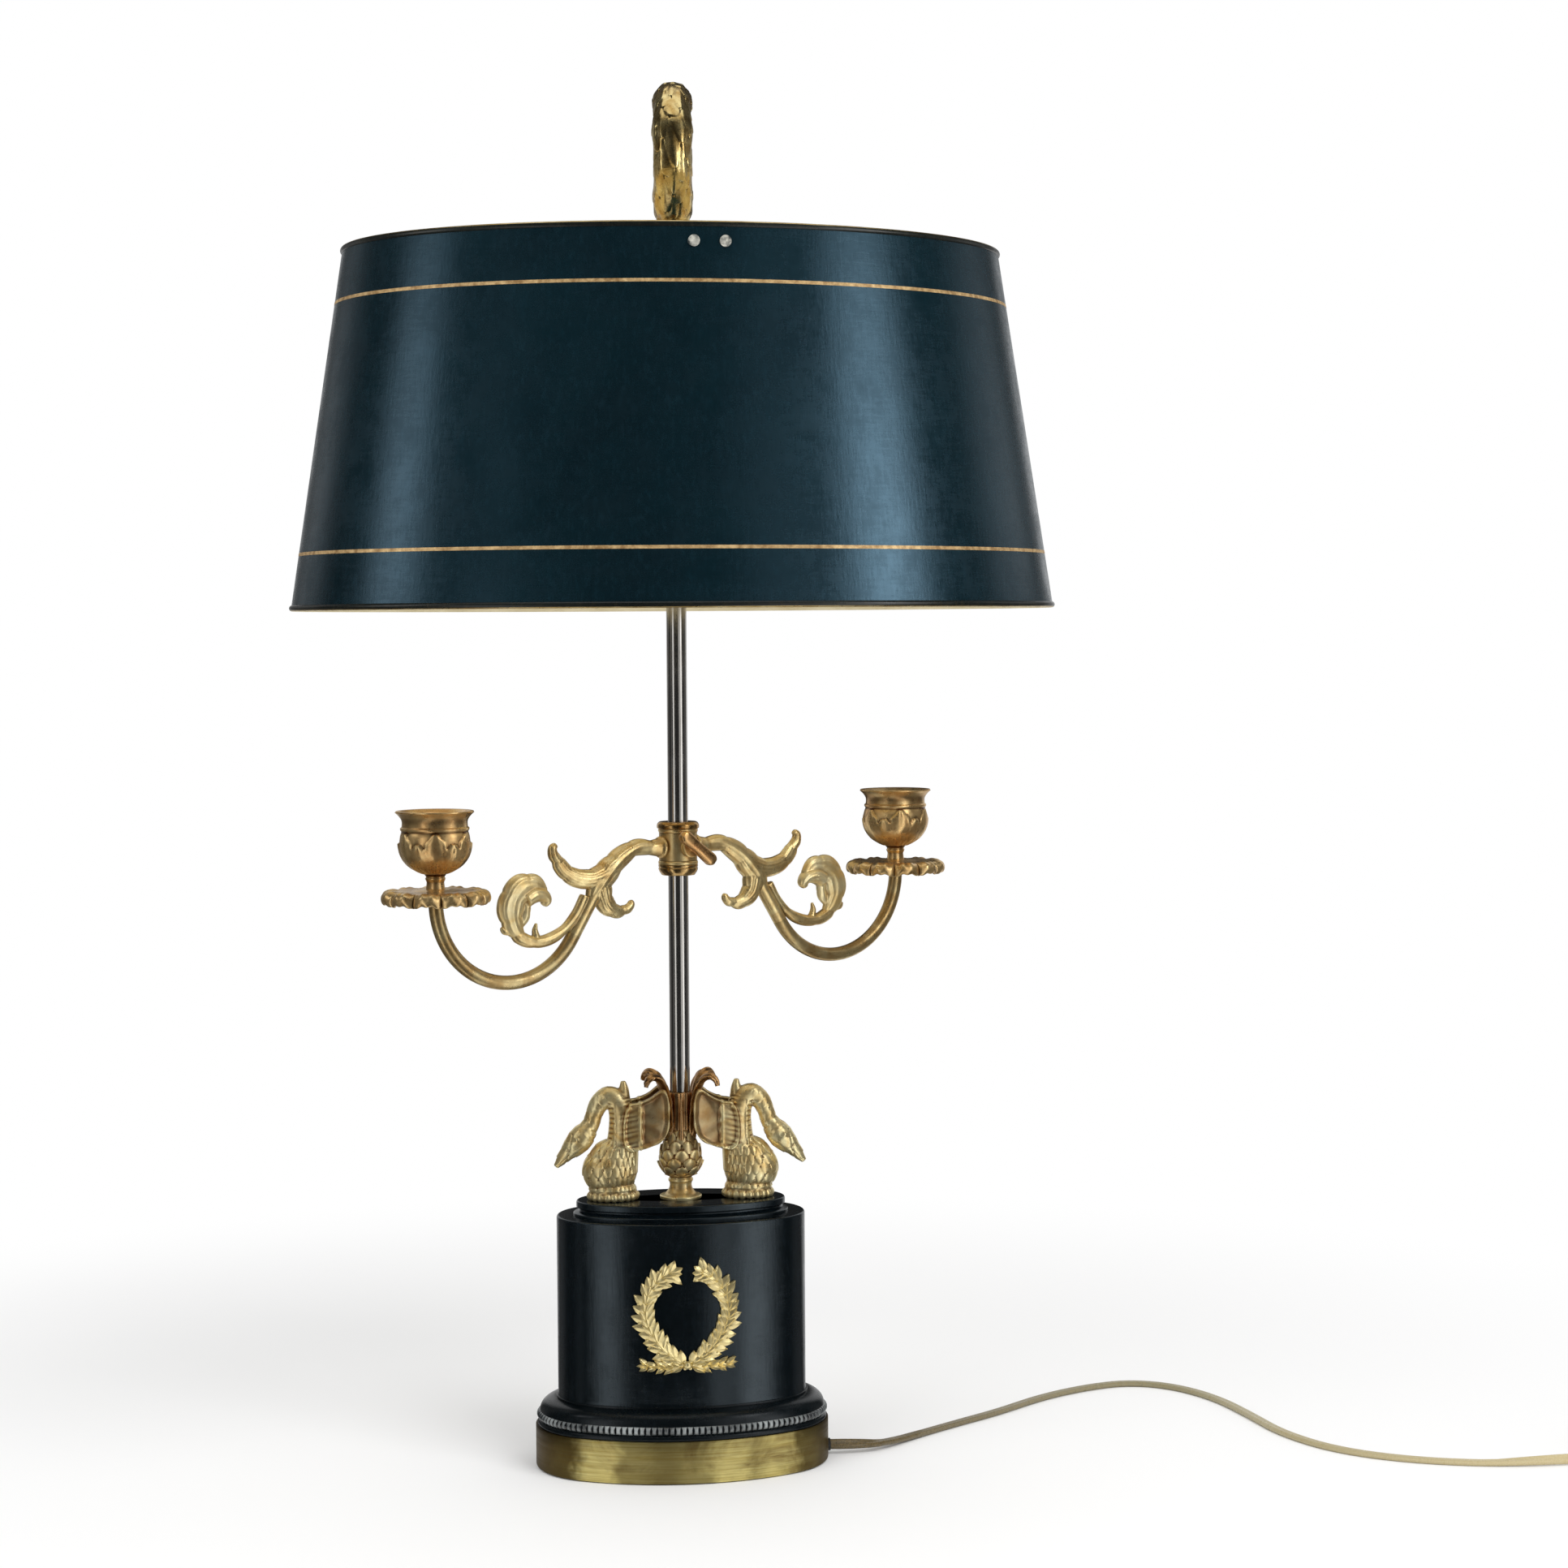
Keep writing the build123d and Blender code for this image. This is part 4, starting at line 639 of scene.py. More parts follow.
# ================================================================ pedestal
BAND_WALL = 1.6
band = softened(
    [(BAND_END_R - BAND_WALL, BAND_TOP), (BAND_END_R, BAND_TOP), (BAND_END_R, BAND_TOP / 2),
     (BAND_END_R, BAND_LOW), (BAND_END_R - BAND_WALL, BAND_LOW)],
    (0.5, 0, 1.1),
)
piece("brushed_band", BAND_METAL, "root", oval_loft(np.vstack([band, band[:1]])),
      nodes=["base_band"])

# The moulding: a plain fillet on the band, a row of gadroons, and a quarter round up to the body.
FILLET_H = 2.6
FILLET_R = 36.4
BEAD_H = 4.4
BEAD_LOW = BAND_TOP + FILLET_H
BEAD_TOP = BEAD_LOW + BEAD_H
BEAD_BACK_R = 33.0
BEAD_IN_R = 34.2
BEAD_SWELL = 2.6
LOBES = 128
LOBE_STEPS = 12
LOBE_DEPTH = 1.35


def gadroon(radius, height, share):
    """Lobes that swell in the middle of the bead's height."""
    lobe = np.abs(np.sin(pi * LOBES * share)) ** 0.7
    middle = np.clip(1 - ((height - BEAD_LOW - 0.5 * BEAD_H) / (0.5 * BEAD_H)) ** 2, 0, 1)
    return radius - LOBE_DEPTH * (1 - lobe) * middle, height


bead_turn = np.linspace(-pi / 2, pi / 2, 14)
bead = np.stack([BEAD_IN_R + BEAD_SWELL * np.cos(bead_turn),
                 BEAD_LOW + BEAD_H * (1 + np.sin(bead_turn)) / 2], -1)
piece("gadroon_row", BEAD_PAINT, "root",
      oval_loft(np.vstack([[(BEAD_BACK_R, BEAD_LOW)], bead, [(BEAD_BACK_R, BEAD_TOP)]]),
                steps=LOBES * LOBE_STEPS, swell=gadroon), worn=0.3)

ROUND_OUT = 35.2
ROUND_IN = BODY_END_R + 0.9
ROUND_LOW = BEAD_TOP - 0.2
ROUND_TOP = MOULDING_TOP - 1.1
NECK_R = 33.6
round_turn = np.linspace(0, pi / 2, 18)
quarter = np.stack([ROUND_IN + (ROUND_OUT - ROUND_IN) * np.cos(round_turn),
                    ROUND_LOW + (ROUND_TOP - ROUND_LOW) * np.sin(round_turn)], -1)
moulding = np.vstack([
    softened([(BEAD_BACK_R, BAND_TOP), (FILLET_R, BAND_TOP), (FILLET_R, BAND_TOP + 1.6),
              (ROUND_OUT, BEAD_LOW), (NECK_R, BEAD_LOW)], (0.3, 0.8, 0.2)),
    [(NECK_R, ROUND_LOW)],
    quarter,
    softened([(ROUND_IN, ROUND_TOP), (ROUND_IN, MOULDING_TOP), (BODY_END_R - 1, MOULDING_TOP)],
             (0.5,)),
])
piece("quarter_round", MOULDING_PAINT, "root", oval_loft(moulding), nodes=["gadroon_moulding"])

body_profile = softened(
    [(BODY_END_R - 2.5, MOULDING_TOP), (BODY_END_R + 0.2, MOULDING_TOP),
     (BODY_END_R, MOULDING_TOP + 1.2), (BODY_END_R, BODY_TOP), (PLINTH_END_R - 2, BODY_TOP)],
    (0.0, 0.5, 1.4),
)
# Rows between the body's foot and top keep its quads short.
BODY_ROWS = 20
body_heights = np.linspace(MOULDING_TOP + 3, BODY_TOP - 4, BODY_ROWS)
body_wall = np.stack([np.full(BODY_ROWS, BODY_END_R), body_heights], -1)
body_split = np.searchsorted(body_profile[:, 1], MOULDING_TOP + 2)
body_profile = np.vstack([body_profile[:body_split], body_wall, body_profile[body_split:]])
piece("pedestal_shell", TOLE, "root", oval_loft(body_profile), nodes=["pedestal_body"])

PLINTH_STEP = BODY_TOP + 2.6
plinth = softened(
    [(10.0, BODY_TOP - 0.2), (17.6, BODY_TOP - 0.2), (17.6, BODY_TOP + 1.2),
     (14.6, PLINTH_STEP), (14.6, PLINTH_STEP + 0.8), (PLINTH_END_R, PLINTH_STEP + 1.4),
     (PLINTH_END_R, PLINTH_TOP), (10.0, PLINTH_TOP), (0.5, PLINTH_TOP)],
    (0, 0.5, 0.9, 0.3, 0.3, 1.3, 0),
)
piece("plinth_ogee", TOLE, "root", oval_loft(plinth, steps=360), nodes=["plinth_cap"])

give(IRON, "ballast", "rod_washer", "rod_nut", "swan_screws")
give(FELT, "felt_pad")
give(TURNED_BRASS, "wreath_pins")
give(PHENOLIC, "cord_grommet")
give(FLEX, "inner_flex", "lamp_leads")

# ================================================================ rod
rod_profile = softened(
    [(2.8, 14.5), (4.0, 14.5), (4.0, COLUMN_TOP), (ROD_R, COLUMN_TOP + 0.4),
     (ROD_R, ROD_TOP), (4.0, ROD_TOP), (4.0, ROD_TOP + 7), (2.8, ROD_TOP + 7)],
    (0, 0, 0.2, 0.2, 0, 0.3),
)
piece("polished_rod", ROD_METAL, "root", lathe(np.vstack([rod_profile, rod_profile[:1]]), 64),
      nodes=["rod"])

# ================================================================ shade
SHADE_BOTTOM = 428.5
SHADE_TOP = 605.0
BOTTOM_HALF = np.array([190.0, 146.0])
TOP_HALF = np.array([163.5, 121.0])
RIM_H = 3.0
RIM_STEPS = 20
RIM_LEDGE = 1.0
SHADE_WALL = 1.0
SHADE_STEPS = 360
SHADE_ROWS = 14
STRIPE_W = 1.6
STRIPE_HEIGHTS = (456.0, 577.5)


def shade_ring(height, inset):
    """Level ellipse on the shade's slant, inset from its rims' edge."""
    share = (height - SHADE_BOTTOM - RIM_H) / (SHADE_TOP - SHADE_BOTTOM - 2 * RIM_H)
    half = BOTTOM_HALF + share * (TOP_HALF - BOTTOM_HALF) - inset
    angle = circle(SHADE_STEPS)
    x, y = half[0] * np.cos(angle), half[1] * np.sin(angle)
    c, s = cos(SHADE_TURN), sin(SHADE_TURN)
    return np.stack([c * x - s * y, s * x + c * y, np.full(SHADE_STEPS, height)], -1)


def shade_band(levels):
    """Closed surface of (height, inset) levels round the shade."""
    rings = [shade_ring(height, inset) for height, inset in levels]
    return shell(np.stack(rings + rings[:1]))


skin_heights = np.linspace(SHADE_BOTTOM + 1.0, SHADE_TOP - 1.0, SHADE_ROWS)
skin_back = np.linspace(SHADE_TOP - 1.0, SHADE_BOTTOM + 1.0, SHADE_ROWS)
skin = piece(
    "shade_skin", SHADE_PAINT, "shade",
    shade_band([(height, RIM_LEDGE) for height in skin_heights]
               + [(height, RIM_LEDGE + SHADE_WALL) for height in skin_back]),
    nodes=["shade_shell"],
)
skin.data.materials.append(SHADE_INSIDE)
for face in skin.data.polygons:
    outward = Vector((face.center.x / BOTTOM_HALF[0] ** 2, face.center.y / BOTTOM_HALF[1] ** 2, 0))
    face.material_index = 1 if face.normal.dot(outward) < 0 else 0

stripes = []
for stripe_z in STRIPE_HEIGHTS:
    low_z, high_z = stripe_z - STRIPE_W / 2, stripe_z + STRIPE_W / 2
    stripes.append(shade_band([
        (low_z, RIM_LEDGE + 0.3), (low_z, RIM_LEDGE - 0.04), (stripe_z, RIM_LEDGE - 0.1),
        (high_z, RIM_LEDGE - 0.04), (high_z, RIM_LEDGE + 0.3),
    ]))
piece("shade_stripes", STRIPE_GOLD, "shade", *stripes)


def rolled_rim(name, middle_z, node, bare):
    """Rolled wire edge of the shade: painted outside, bare gilt on its edge, cream inside."""
    radius = RIM_H / 2
    rings = []
    for angle in circle(RIM_STEPS):
        ring = shade_ring(middle_z, radius - radius * cos(angle))
        ring[:, 2] = middle_z + radius * sin(angle)
        rings.append(ring)
    rim = piece(name, RIM_PAINT, "shade", shell(np.stack(rings + rings[:1])), nodes=[node])
    rim.data.materials.append(GILT)
    rim.data.materials.append(SHADE_INSIDE)
    for face in rim.data.polygons:
        outward = Vector(face.center.xy).to_3d().normalized()
        inner = face.normal.dot(outward) < -0.15
        face.material_index = 2 if inner else 1 if face.normal.z * bare > 0.55 else 0


rolled_rim("shade_bottom_bead", SHADE_BOTTOM + RIM_H / 2, "shade_bottom_rim", -1)
rolled_rim("shade_top_bead", SHADE_TOP - RIM_H / 2, "shade_top_rim", 1)
give(SHADE_PAINT, "shade_spider")
give(WORN_RIVET, "shade_rivets")
give(TURNED_BRASS, "shade_slider", "slider_nut", "cluster_body")
give(PHENOLIC, "lamp_holder_left", "lamp_holder_right", "switch_knob")
give(CAP_METAL, "bulb_cap_left", "bulb_cap_right")
give(GLASS, "bulb_glass_left", "bulb_glass_right")

# ================================================================ carriage, hub and thumbscrews
SLEEVE_LOW = low("arm_sleeve")[2]
SLEEVE_TOP = high("arm_sleeve")[2]
HUB_LOW = low("arm_hub")[2]
HUB_TOP = high("arm_hub")[2]
NUT_LOW = low("sleeve_nut")[2]
NUT_TOP = high("sleeve_nut")[2]
BORE_R = ROD_R + 0.05
SLEEVE_BORE_R = 7.25


def ring_profile(points, radii, bore):
    """Closed turned profile: rounded outside, straight bore."""
    outline = softened(points, radii)
    inside = [(bore, outline[-1][1]), (bore, outline[0][1]), tuple(outline[0])]
    return np.vstack([outline, inside])


def standing(part, direction, height):
    """A turned shape laid level, its axis pointing out from the rod in a direction."""
    points, faces = part
    c, s = cos(direction), sin(direction)
    out, across = np.array([c, s, 0.0]), np.array([-s, c, 0.0])
    place = points[:, 2:3] * out + points[:, 0:1] * across + points[:, 1:2] * (0, 0, 1.0)
    return place + (0, 0, height), faces


sleeve = ring_profile(
    [(7.1, SLEEVE_LOW), (7.1, SLEEVE_TOP - 3.4), (10.5, SLEEVE_TOP - 3.4),
     (10.6, SLEEVE_TOP - 1.4), (9.4, SLEEVE_TOP), (7.6, SLEEVE_TOP)],
    (0.1, 0.5, 0.9, 0.7), BORE_R,
)
piece("arm_carriage_sleeve", TURNED_BRASS, "arm_carriage", lathe(sleeve), nodes=["arm_sleeve"])
nut = ring_profile(
    [(7.6, NUT_LOW), (8.2, NUT_LOW), (9.7, NUT_LOW + 2.2), (9.9, NUT_TOP - 1.9),
     (9.5, NUT_TOP - 1.5), (9.9, NUT_TOP - 1.0), (9.8, NUT_TOP), (7.4, NUT_TOP)],
    (0.4, 1.2, 0.3, 0.3, 0.3, 0.3), SLEEVE_BORE_R,
)
piece("arm_ring_nut", TURNED_BRASS, "arm_carriage", lathe(nut), nodes=["sleeve_nut"])
hub = ring_profile(
    [(7.4, HUB_LOW), (9.9, HUB_LOW), (9.9, HUB_LOW + 1.3), (9.5, HUB_LOW + 1.7),
     (9.5, HUB_TOP - 1.7), (9.9, HUB_TOP - 1.3), (9.9, HUB_TOP), (7.4, HUB_TOP)],
    (0.4, 0.3, 0.4, 0.4, 0.3, 0.4), SLEEVE_BORE_R,
)
boss = softened(
    [(0.01, 7.4), (4.2, 7.4), (4.2, 10.0), (5.0, 10.4), (5.0, 12.3), (4.1, 12.3), (0.01, 12.3)],
    (0, 0.2, 0.2, 0.5, 0.2))
SCREW_SIDE = ARM_TURN - pi / 2
piece("arm_hub_casting", BRASS, "arms", lathe(hub), standing(lathe(boss, 48), SCREW_SIDE, ARM_Z),
      nodes=["arm_hub"], worn=0.5)

SCREW_REACH = 19.6
SCREW_LEAN = radians(-38)
STEM_START = 5.3
BAR_SPAN = 25.0
BAR_DEPTH = 6.6
BAR_THICK = 5.2
BAR_STEPS = 40


def thumbscrew(name, body, node, direction, height):
    """T-headed screw: a short stem with a flat, round-ended bar across it."""
    angle = circle(BAR_STEPS)
    square = squircle(angle, 3.2)
    half = BAR_SPAN / 2 - BAR_DEPTH / 2
    rows = []
    for share in np.linspace(-1, 1, 33):
        along = share * (half + BAR_DEPTH / 2)
        past = max(abs(along) - half, 0) / (BAR_DEPTH / 2)
        shrink = max(1 - past * past, 0) ** 0.5
        waist = 1 - 0.16 * (1 - abs(share)) ** 1.5
        wide = BAR_DEPTH / 2 * shrink * waist
        deep = BAR_THICK / 2 * (0.62 + 0.38 * shrink) * (1 if shrink > 0 else 0)
        rows.append(np.stack([np.full(BAR_STEPS, along), wide * square * np.cos(angle),
                              deep * square * np.sin(angle)], -1))
    bar = placed(shell(np.array(rows), ends=(True, True)), SCREW_LEAN,
                 (0, 0, SCREW_REACH - BAR_THICK / 2))
    foot = SCREW_REACH - BAR_THICK
    stem = lathe(softened([(0.01, STEM_START), (1.9, STEM_START), (1.9, foot - 1.6),
                           (2.6, foot + 0.6), (0.01, foot + 0.7)], (0.4, 0.4, 0.1)), BAR_STEPS)
    piece(name, COPPERY, body, standing(bar, direction, height),
          standing(stem, direction, height), nodes=[node], worn=0.4)


thumbscrew("arm_wing_screw", "arm_screw", "arm_thumbscrew", SCREW_SIDE, ARM_Z)
SLIDER_SCREW_Z = (low("shade_thumbscrew")[2] + high("shade_thumbscrew")[2]) / 2
thumbscrew("shade_wing_screw", "shade_screw", "shade_thumbscrew", -pi / 2, SLIDER_SCREW_Z)

# ================================================================ candle arms
ARM_SIDES = (("right", ARM_TURN), ("left", ARM_TURN + pi))
ROOT_X = 9.6
SHOULDER_AT = np.array([24.0, 286.5])
SHOULDER_R = 24.0
BOWL_AT = np.array([99.0, 291.0])
BOWL_R = 41.5
TUBE_R = 3.5
TUBE_STEPS = 32
ARM_STEPS = 40
LEAF_STEPS = 36
LINE_STEPS = 8
gap = BOWL_AT - SHOULDER_AT
DROP = atan2(gap[1], gap[0]) + np.arccos((SHOULDER_R + BOWL_R) / hypot(*gap))


def arm_line():
    """The tube's centre line in the arm's own plane, as (reach, height)."""
    shoulder = np.linspace(pi / 2, DROP, ARM_STEPS // 2)
    bowl = np.linspace(DROP + pi, 2 * pi, ARM_STEPS)
    return np.vstack([
        [(ROOT_X, ARM_Z), (18.0, ARM_Z)],
        SHOULDER_AT + SHOULDER_R * np.stack([np.cos(shoulder), np.sin(shoulder)], -1),
        BOWL_AT + BOWL_R * np.stack([np.cos(bowl), np.sin(bowl)], -1),
    ])


def in_plane(points):
    """Arm-plane points as 3-D points on the XZ plane."""
    points = np.asarray(points, float)
    return np.stack([points[:, 0], np.zeros(len(points)), points[:, 1]], -1)


def leaf(line, widths, depths, lobes=0, veins=1, notch=0.16):
    """Cast leaf in the arm's plane: lens section with veins, and a scalloped edge."""
    line = smooth_line(line, LINE_STEPS)
    count = len(line)
    wide = spaced(widths, count)
    deep = spaced(depths, count)
    if lobes:
        along = np.abs(np.sin(pi * lobes * np.linspace(0, 1, count)))
        wide = wide * (1 - notch + notch * along ** 0.6)
    angle = circle(LEAF_STEPS)
    across = np.sin(angle)
    ridge = 0.9 + 0.1 * np.cos(pi * veins * across) ** 2
    bulge = np.sign(np.cos(angle)) * np.abs(np.cos(angle)) ** 0.8
    side = deep[:, None] * (bulge * ridge)[None, :]
    return sweep(in_plane(line), np.stack([side, wide[:, None] * across[None, :]], -1))


# Leaves of an arm: line from root to tip, half widths, half depths, lobes, veins and notch.
ARM_LEAVES = (
    # saddle over the shoulder
    ([(17, 311.6), (26, 311.2), (35, 306.8), (42, 301.0), (48, 294.0), (53, 287.5)],
     [3.0, 4.2, 5.2, 6.4, 6.6, 3.0], [3.6, 4.0, 4.6, 5.0, 4.8, 3.0], 4, 4),
    # leaf that curls up, and its tip
    ([(34, 304.5), (43, 300.2), (52, 297.2), (60, 297.6), (66.5, 300.6), (71.0, 305.4),
      (73.6, 311.4)],
     [3.0, 5.2, 5.4, 4.7, 4.6, 3.9, 1.5], [3.6, 4.8, 4.6, 3.8, 3.0, 2.4, 1.3], 3, 3),
    ([(71.6, 306.4), (74.2, 309.4), (74.6, 313.0), (72.6, 314.6)],
     [2.6, 2.6, 2.2, 1.4], [2.6, 2.6, 2.2, 1.4]),
    # leaf that curls down, and its tip
    ([(47, 298.0), (46.4, 291.0), (44.6, 285.2), (41.0, 281.6), (36.4, 280.0), (31.4, 281.4)],
     [4.6, 5.8, 5.2, 4.4, 3.4, 1.7], [3.6, 4.6, 4.4, 3.6, 2.8, 1.7], 3, 3),
    ([(34.0, 280.6), (31.0, 281.0), (28.8, 283.2), (29.4, 285.0)],
     [2.4, 2.4, 1.9, 1.2], [2.4, 2.4, 1.9, 1.2]),
    # branch inside the bowl, with a thorn and a bud
    ([(56.5, 289), (60.5, 281.5), (66.0, 275.4), (73.0, 270.6), (81.0, 268.2), (88.6, 268.6),
      (95.0, 271.6), (100.6, 276.4)],
     [2.6, 2.5, 2.5, 2.9, 3.0, 3.4, 3.4, 1.2], [2.6, 2.6, 2.6, 2.8, 3.0, 3.2, 2.8, 1.2],
     3, 2, 0.22),
    ([(84.5, 270.6), (85.2, 273.8), (84.4, 277.2)], [2.0, 1.5, 0.7], [2.0, 1.5, 0.8]),
    ([(99.0, 274.2), (102.6, 274.6), (104.4, 276.4)], [2.2, 1.8, 0.8], [2.0, 1.6, 0.8]),
)
# The big pale leaf that rises from the branch and rolls over towards the rod.
SCROLL_LEAVES = (
    ([(93.0, 271.0), (97.4, 276.4), (99.4, 283.4), (97.6, 290.2), (92.2, 295.0), (85.4, 295.6),
      (79.6, 292.0)],
     [2.6, 5.4, 7.0, 7.6, 7.2, 5.6, 2.8], [2.2, 3.2, 3.8, 4.0, 3.8, 3.2, 2.2], 4, 4),
    ([(91.0, 289.0), (86.0, 291.2), (81.0, 290.6), (78.6, 288.0), (80.2, 285.8)],
     [4.0, 4.2, 3.4, 2.6, 1.6], [5.2, 5.0, 4.2, 3.2, 2.0], 0, 2),
    ([(94.0, 276.0), (91.0, 280.6), (90.4, 285.4), (92.4, 289.4)],
     [1.6, 2.6, 2.6, 1.6], [1.6, 2.2, 2.4, 1.6], 2),
)


def arm_shells():
    """An arm's bent tube, thicker at its root, its collar and its leaves."""
    line = arm_line()
    radii = np.full(len(line), TUBE_R)
    radii += 1.6 * np.clip(1 - distance_along(line) / 7, 0, 1) ** 0.7
    radii[-1] = TUBE_R
    tube = sweep(in_plane(line), round_sections(radii, TUBE_STEPS))
    collar = sweep(in_plane([(9.7, ARM_Z), (10.4, ARM_Z), (11.4, ARM_Z), (12.2, ARM_Z)]),
                   round_sections([5.3, 5.6, 5.4, 4.6], TUBE_STEPS))
    return [tube, collar] + [leaf(*sizes) for sizes in ARM_LEAVES]


def tube_share(points):
    """The bare tube is browner than the leaves on it."""
    reach = np.abs(points[:, 0] * cos(ARM_TURN) + points[:, 1] * sin(ARM_TURN))
    spots = np.stack([reach, points[:, 2]], -1)
    beside = points[:, 1] * cos(ARM_TURN) - points[:, 0] * sin(ARM_TURN)
    away = np.min([np.hypot(*(spots - spot).T) for spot in arm_line()], axis=0)
    on_tube = (np.hypot(away, beside) < TUBE_R + 0.45) & (reach > 52)
    return np.where(on_tube, 0.62, 1.0)


for side, turn in ARM_SIDES:
    arm = piece(f"arm_casting_{side}", BRASS, "arms",
                *[placed(part, turn) for part in arm_shells()], nodes=[f"arm_{side}"])
    fused(arm, voxel=0.42, worn=0.45)
    tone_down(arm, tube_share)
    scroll = piece(f"scroll_leaf_{side}", SCROLL_GOLD, "arms",
                   *[placed(leaf(*sizes), turn) for sizes in SCROLL_LEAVES])
    fused(scroll, voxel=0.4, worn=0.45)

# ================================================================ drip pans and candle cups
CUP_REACH = 140.5
PAN_FOOT = high("drip_pan_left")[2]
PAN_EDGE = 26.4
PAN_LOBES = 11
CUP_LOW = low("candle_cup_left")[2]
CUP_HIGH = high("candle_cup_left")[2]
CANDLE_R = 11.0
CANDLE_DEPTH = 25.0


def pan_rim(radius, height, angle):
    """Acanthus rim: rounded lobes that dip and turn under, with a rib in each."""
    outer = np.clip((radius - 17) / (PAN_EDGE - 17), 0, 1)
    lobe = np.abs(np.sin(PAN_LOBES * angle / 2))
    notch = 1 - 0.12 * (1 - lobe**0.55)
    rib = np.cos(PAN_LOBES * 3 * angle) * 0.35
    return radius * (1 - outer * (1 - notch)), height + outer * (rib - 1.9 * (1 - lobe**0.7))


pan_profile = softened(
    raised([(4.4, 0), (7.0, 0), (12.0, -0.9), (18.0, -0.8), (22.6, -0.2), (25.6, -1.6),
            (PAN_EDGE, -4.4), (25.4, -6.4), (23.6, -6.4), (22.2, -4.8), (16.0, -3.4), (9.0, -4.2),
            (6.0, -6.0), (4.4, -6.0)], PAN_FOOT),
    (0.8, 1.6, 1.6, 1.4, 1.5, 1.2, 0.8, 0.8, 0.8, 1.6, 1.2, 0.6),
)
pan_profile = np.vstack([pan_profile, pan_profile[:1]])
cup_profile = np.vstack([
    softened(raised([(0.01, 0), (4.5, 0), (4.1, 3.4), (4.9, 5.0), (4.3, 5.8), (5.2, 7.0)], CUP_LOW),
             (0.3, 0.6, 0.5, 0.3)),
    smooth_line(raised([(5.2, 7.0), (8.4, 8.4), (12.6, 11.2), (15.7, 15.4), (17.0, 20.2),
                        (16.7, 24.8), (15.9, 27.6)], CUP_LOW), 7)[1:],
    softened(
        raised([(15.9, 27.6), (16.3, 28.2), (16.3, 29.0), (15.6, 29.5), (15.3, 32.6)], CUP_LOW)
        + raised([(17.6, -1.5), (18.4, -0.9), (18.4, 0), (16.6, 0), (13.0, -1.4),
                  (CANDLE_R, -3.4), (CANDLE_R, -CANDLE_DEPTH), (0.01, -CANDLE_DEPTH)], CUP_HIGH),
        (0.2, 0.2, 0.3, 1.8, 1.4, 0.3, 0.3, 0.8, 1.0, 1.0, 0.6)),
])


def cup_leaves(points):
    """Upright acanthus leaves in relief round the belly of a cup, from its foot to its waist."""
    height = points[:, 2] - CUP_LOW
    radius = np.hypot(points[:, 0], points[:, 1])
    angle = np.arctan2(points[:, 1], points[:, 0])
    outside = (height > 7.2) & (height < 27.4) & ((radius > CANDLE_R + 0.5) | (height < 11.4))
    rise = np.clip((height - 7.2) / 20.0, 0, 1)
    total = np.zeros(len(points))
    for offset, tip in ((0.0, 0.98), (pi / 6, 0.74)):
        phase = (angle + offset) * 6 / (2 * pi)
        beside = (phase - np.round(phase)) * 2
        share = rise / tip
        half = 0.96 * np.sqrt(np.clip(1 - share**2.6, 0, 1)) * (0.62 + 0.38 * np.sin(pi * share))
        half = np.clip(half * (0.84 + 0.16 * np.abs(np.sin(share * pi * 4.5))), 1e-3, 1)
        inside = np.clip((1 - np.abs(beside) / half) * 6, 0, 1) * (share < 1)
        fan = np.cos((beside / half) * pi * 2.5 - 3.0 * share * np.sign(beside))
        vein = 0.3 * fan + 0.4 * np.exp(-((beside * 8) ** 2))
        total = np.maximum(total, inside * (0.72 + 0.4 * vein))
    return np.where(outside, 0.95 * total - 0.3, 0)


for side, turn in ARM_SIDES:
    at = (CUP_REACH * cos(turn), CUP_REACH * sin(turn), 0)
    piece(f"acanthus_pan_{side}", PAN_METAL, "arms",
          placed(lathe(pan_profile, 360, pan_rim), turn, at), nodes=[f"drip_pan_{side}"], worn=0.35)
    cup_points, cup_faces = lathe(cup_profile, 260)
    radial = cup_points * (1, 1, 0)
    length = np.maximum(np.linalg.norm(radial, axis=1, keepdims=True), 1e-6)
    cup_points = cup_points + radial / length * cup_leaves(cup_points)[:, None]
    piece(f"leafed_cup_{side}", CUP_METAL, "arms", placed((cup_points, cup_faces), turn, at),
          nodes=[f"candle_cup_{side}"], worn=0.3)

# ================================================================ swans
SWAN_X = 34.5
PADDLE_Y = 7.4
FOOT_BEADS = 20


def limb(points, radii, flat=1.0):
    """Rounded limb along points in the swan's plane, given as (out, up) from its middle."""
    line = smooth_line(in_plane(np.asarray(points, float) + (SWAN_X, PLINTH_TOP)), LINE_STEPS)
    return sweep(line, round_sections(spaced(radii, len(line)), TUBE_STEPS, flat))


def egg(centre, radii, rows=28, steps=40):
    """Ellipsoid."""
    bands = np.linspace(0, pi, rows)
    profile = np.stack([np.maximum(np.sin(bands), 1e-3), -np.cos(bands)], -1)
    points, faces = lathe(profile, steps)
    return points * radii + centre, faces


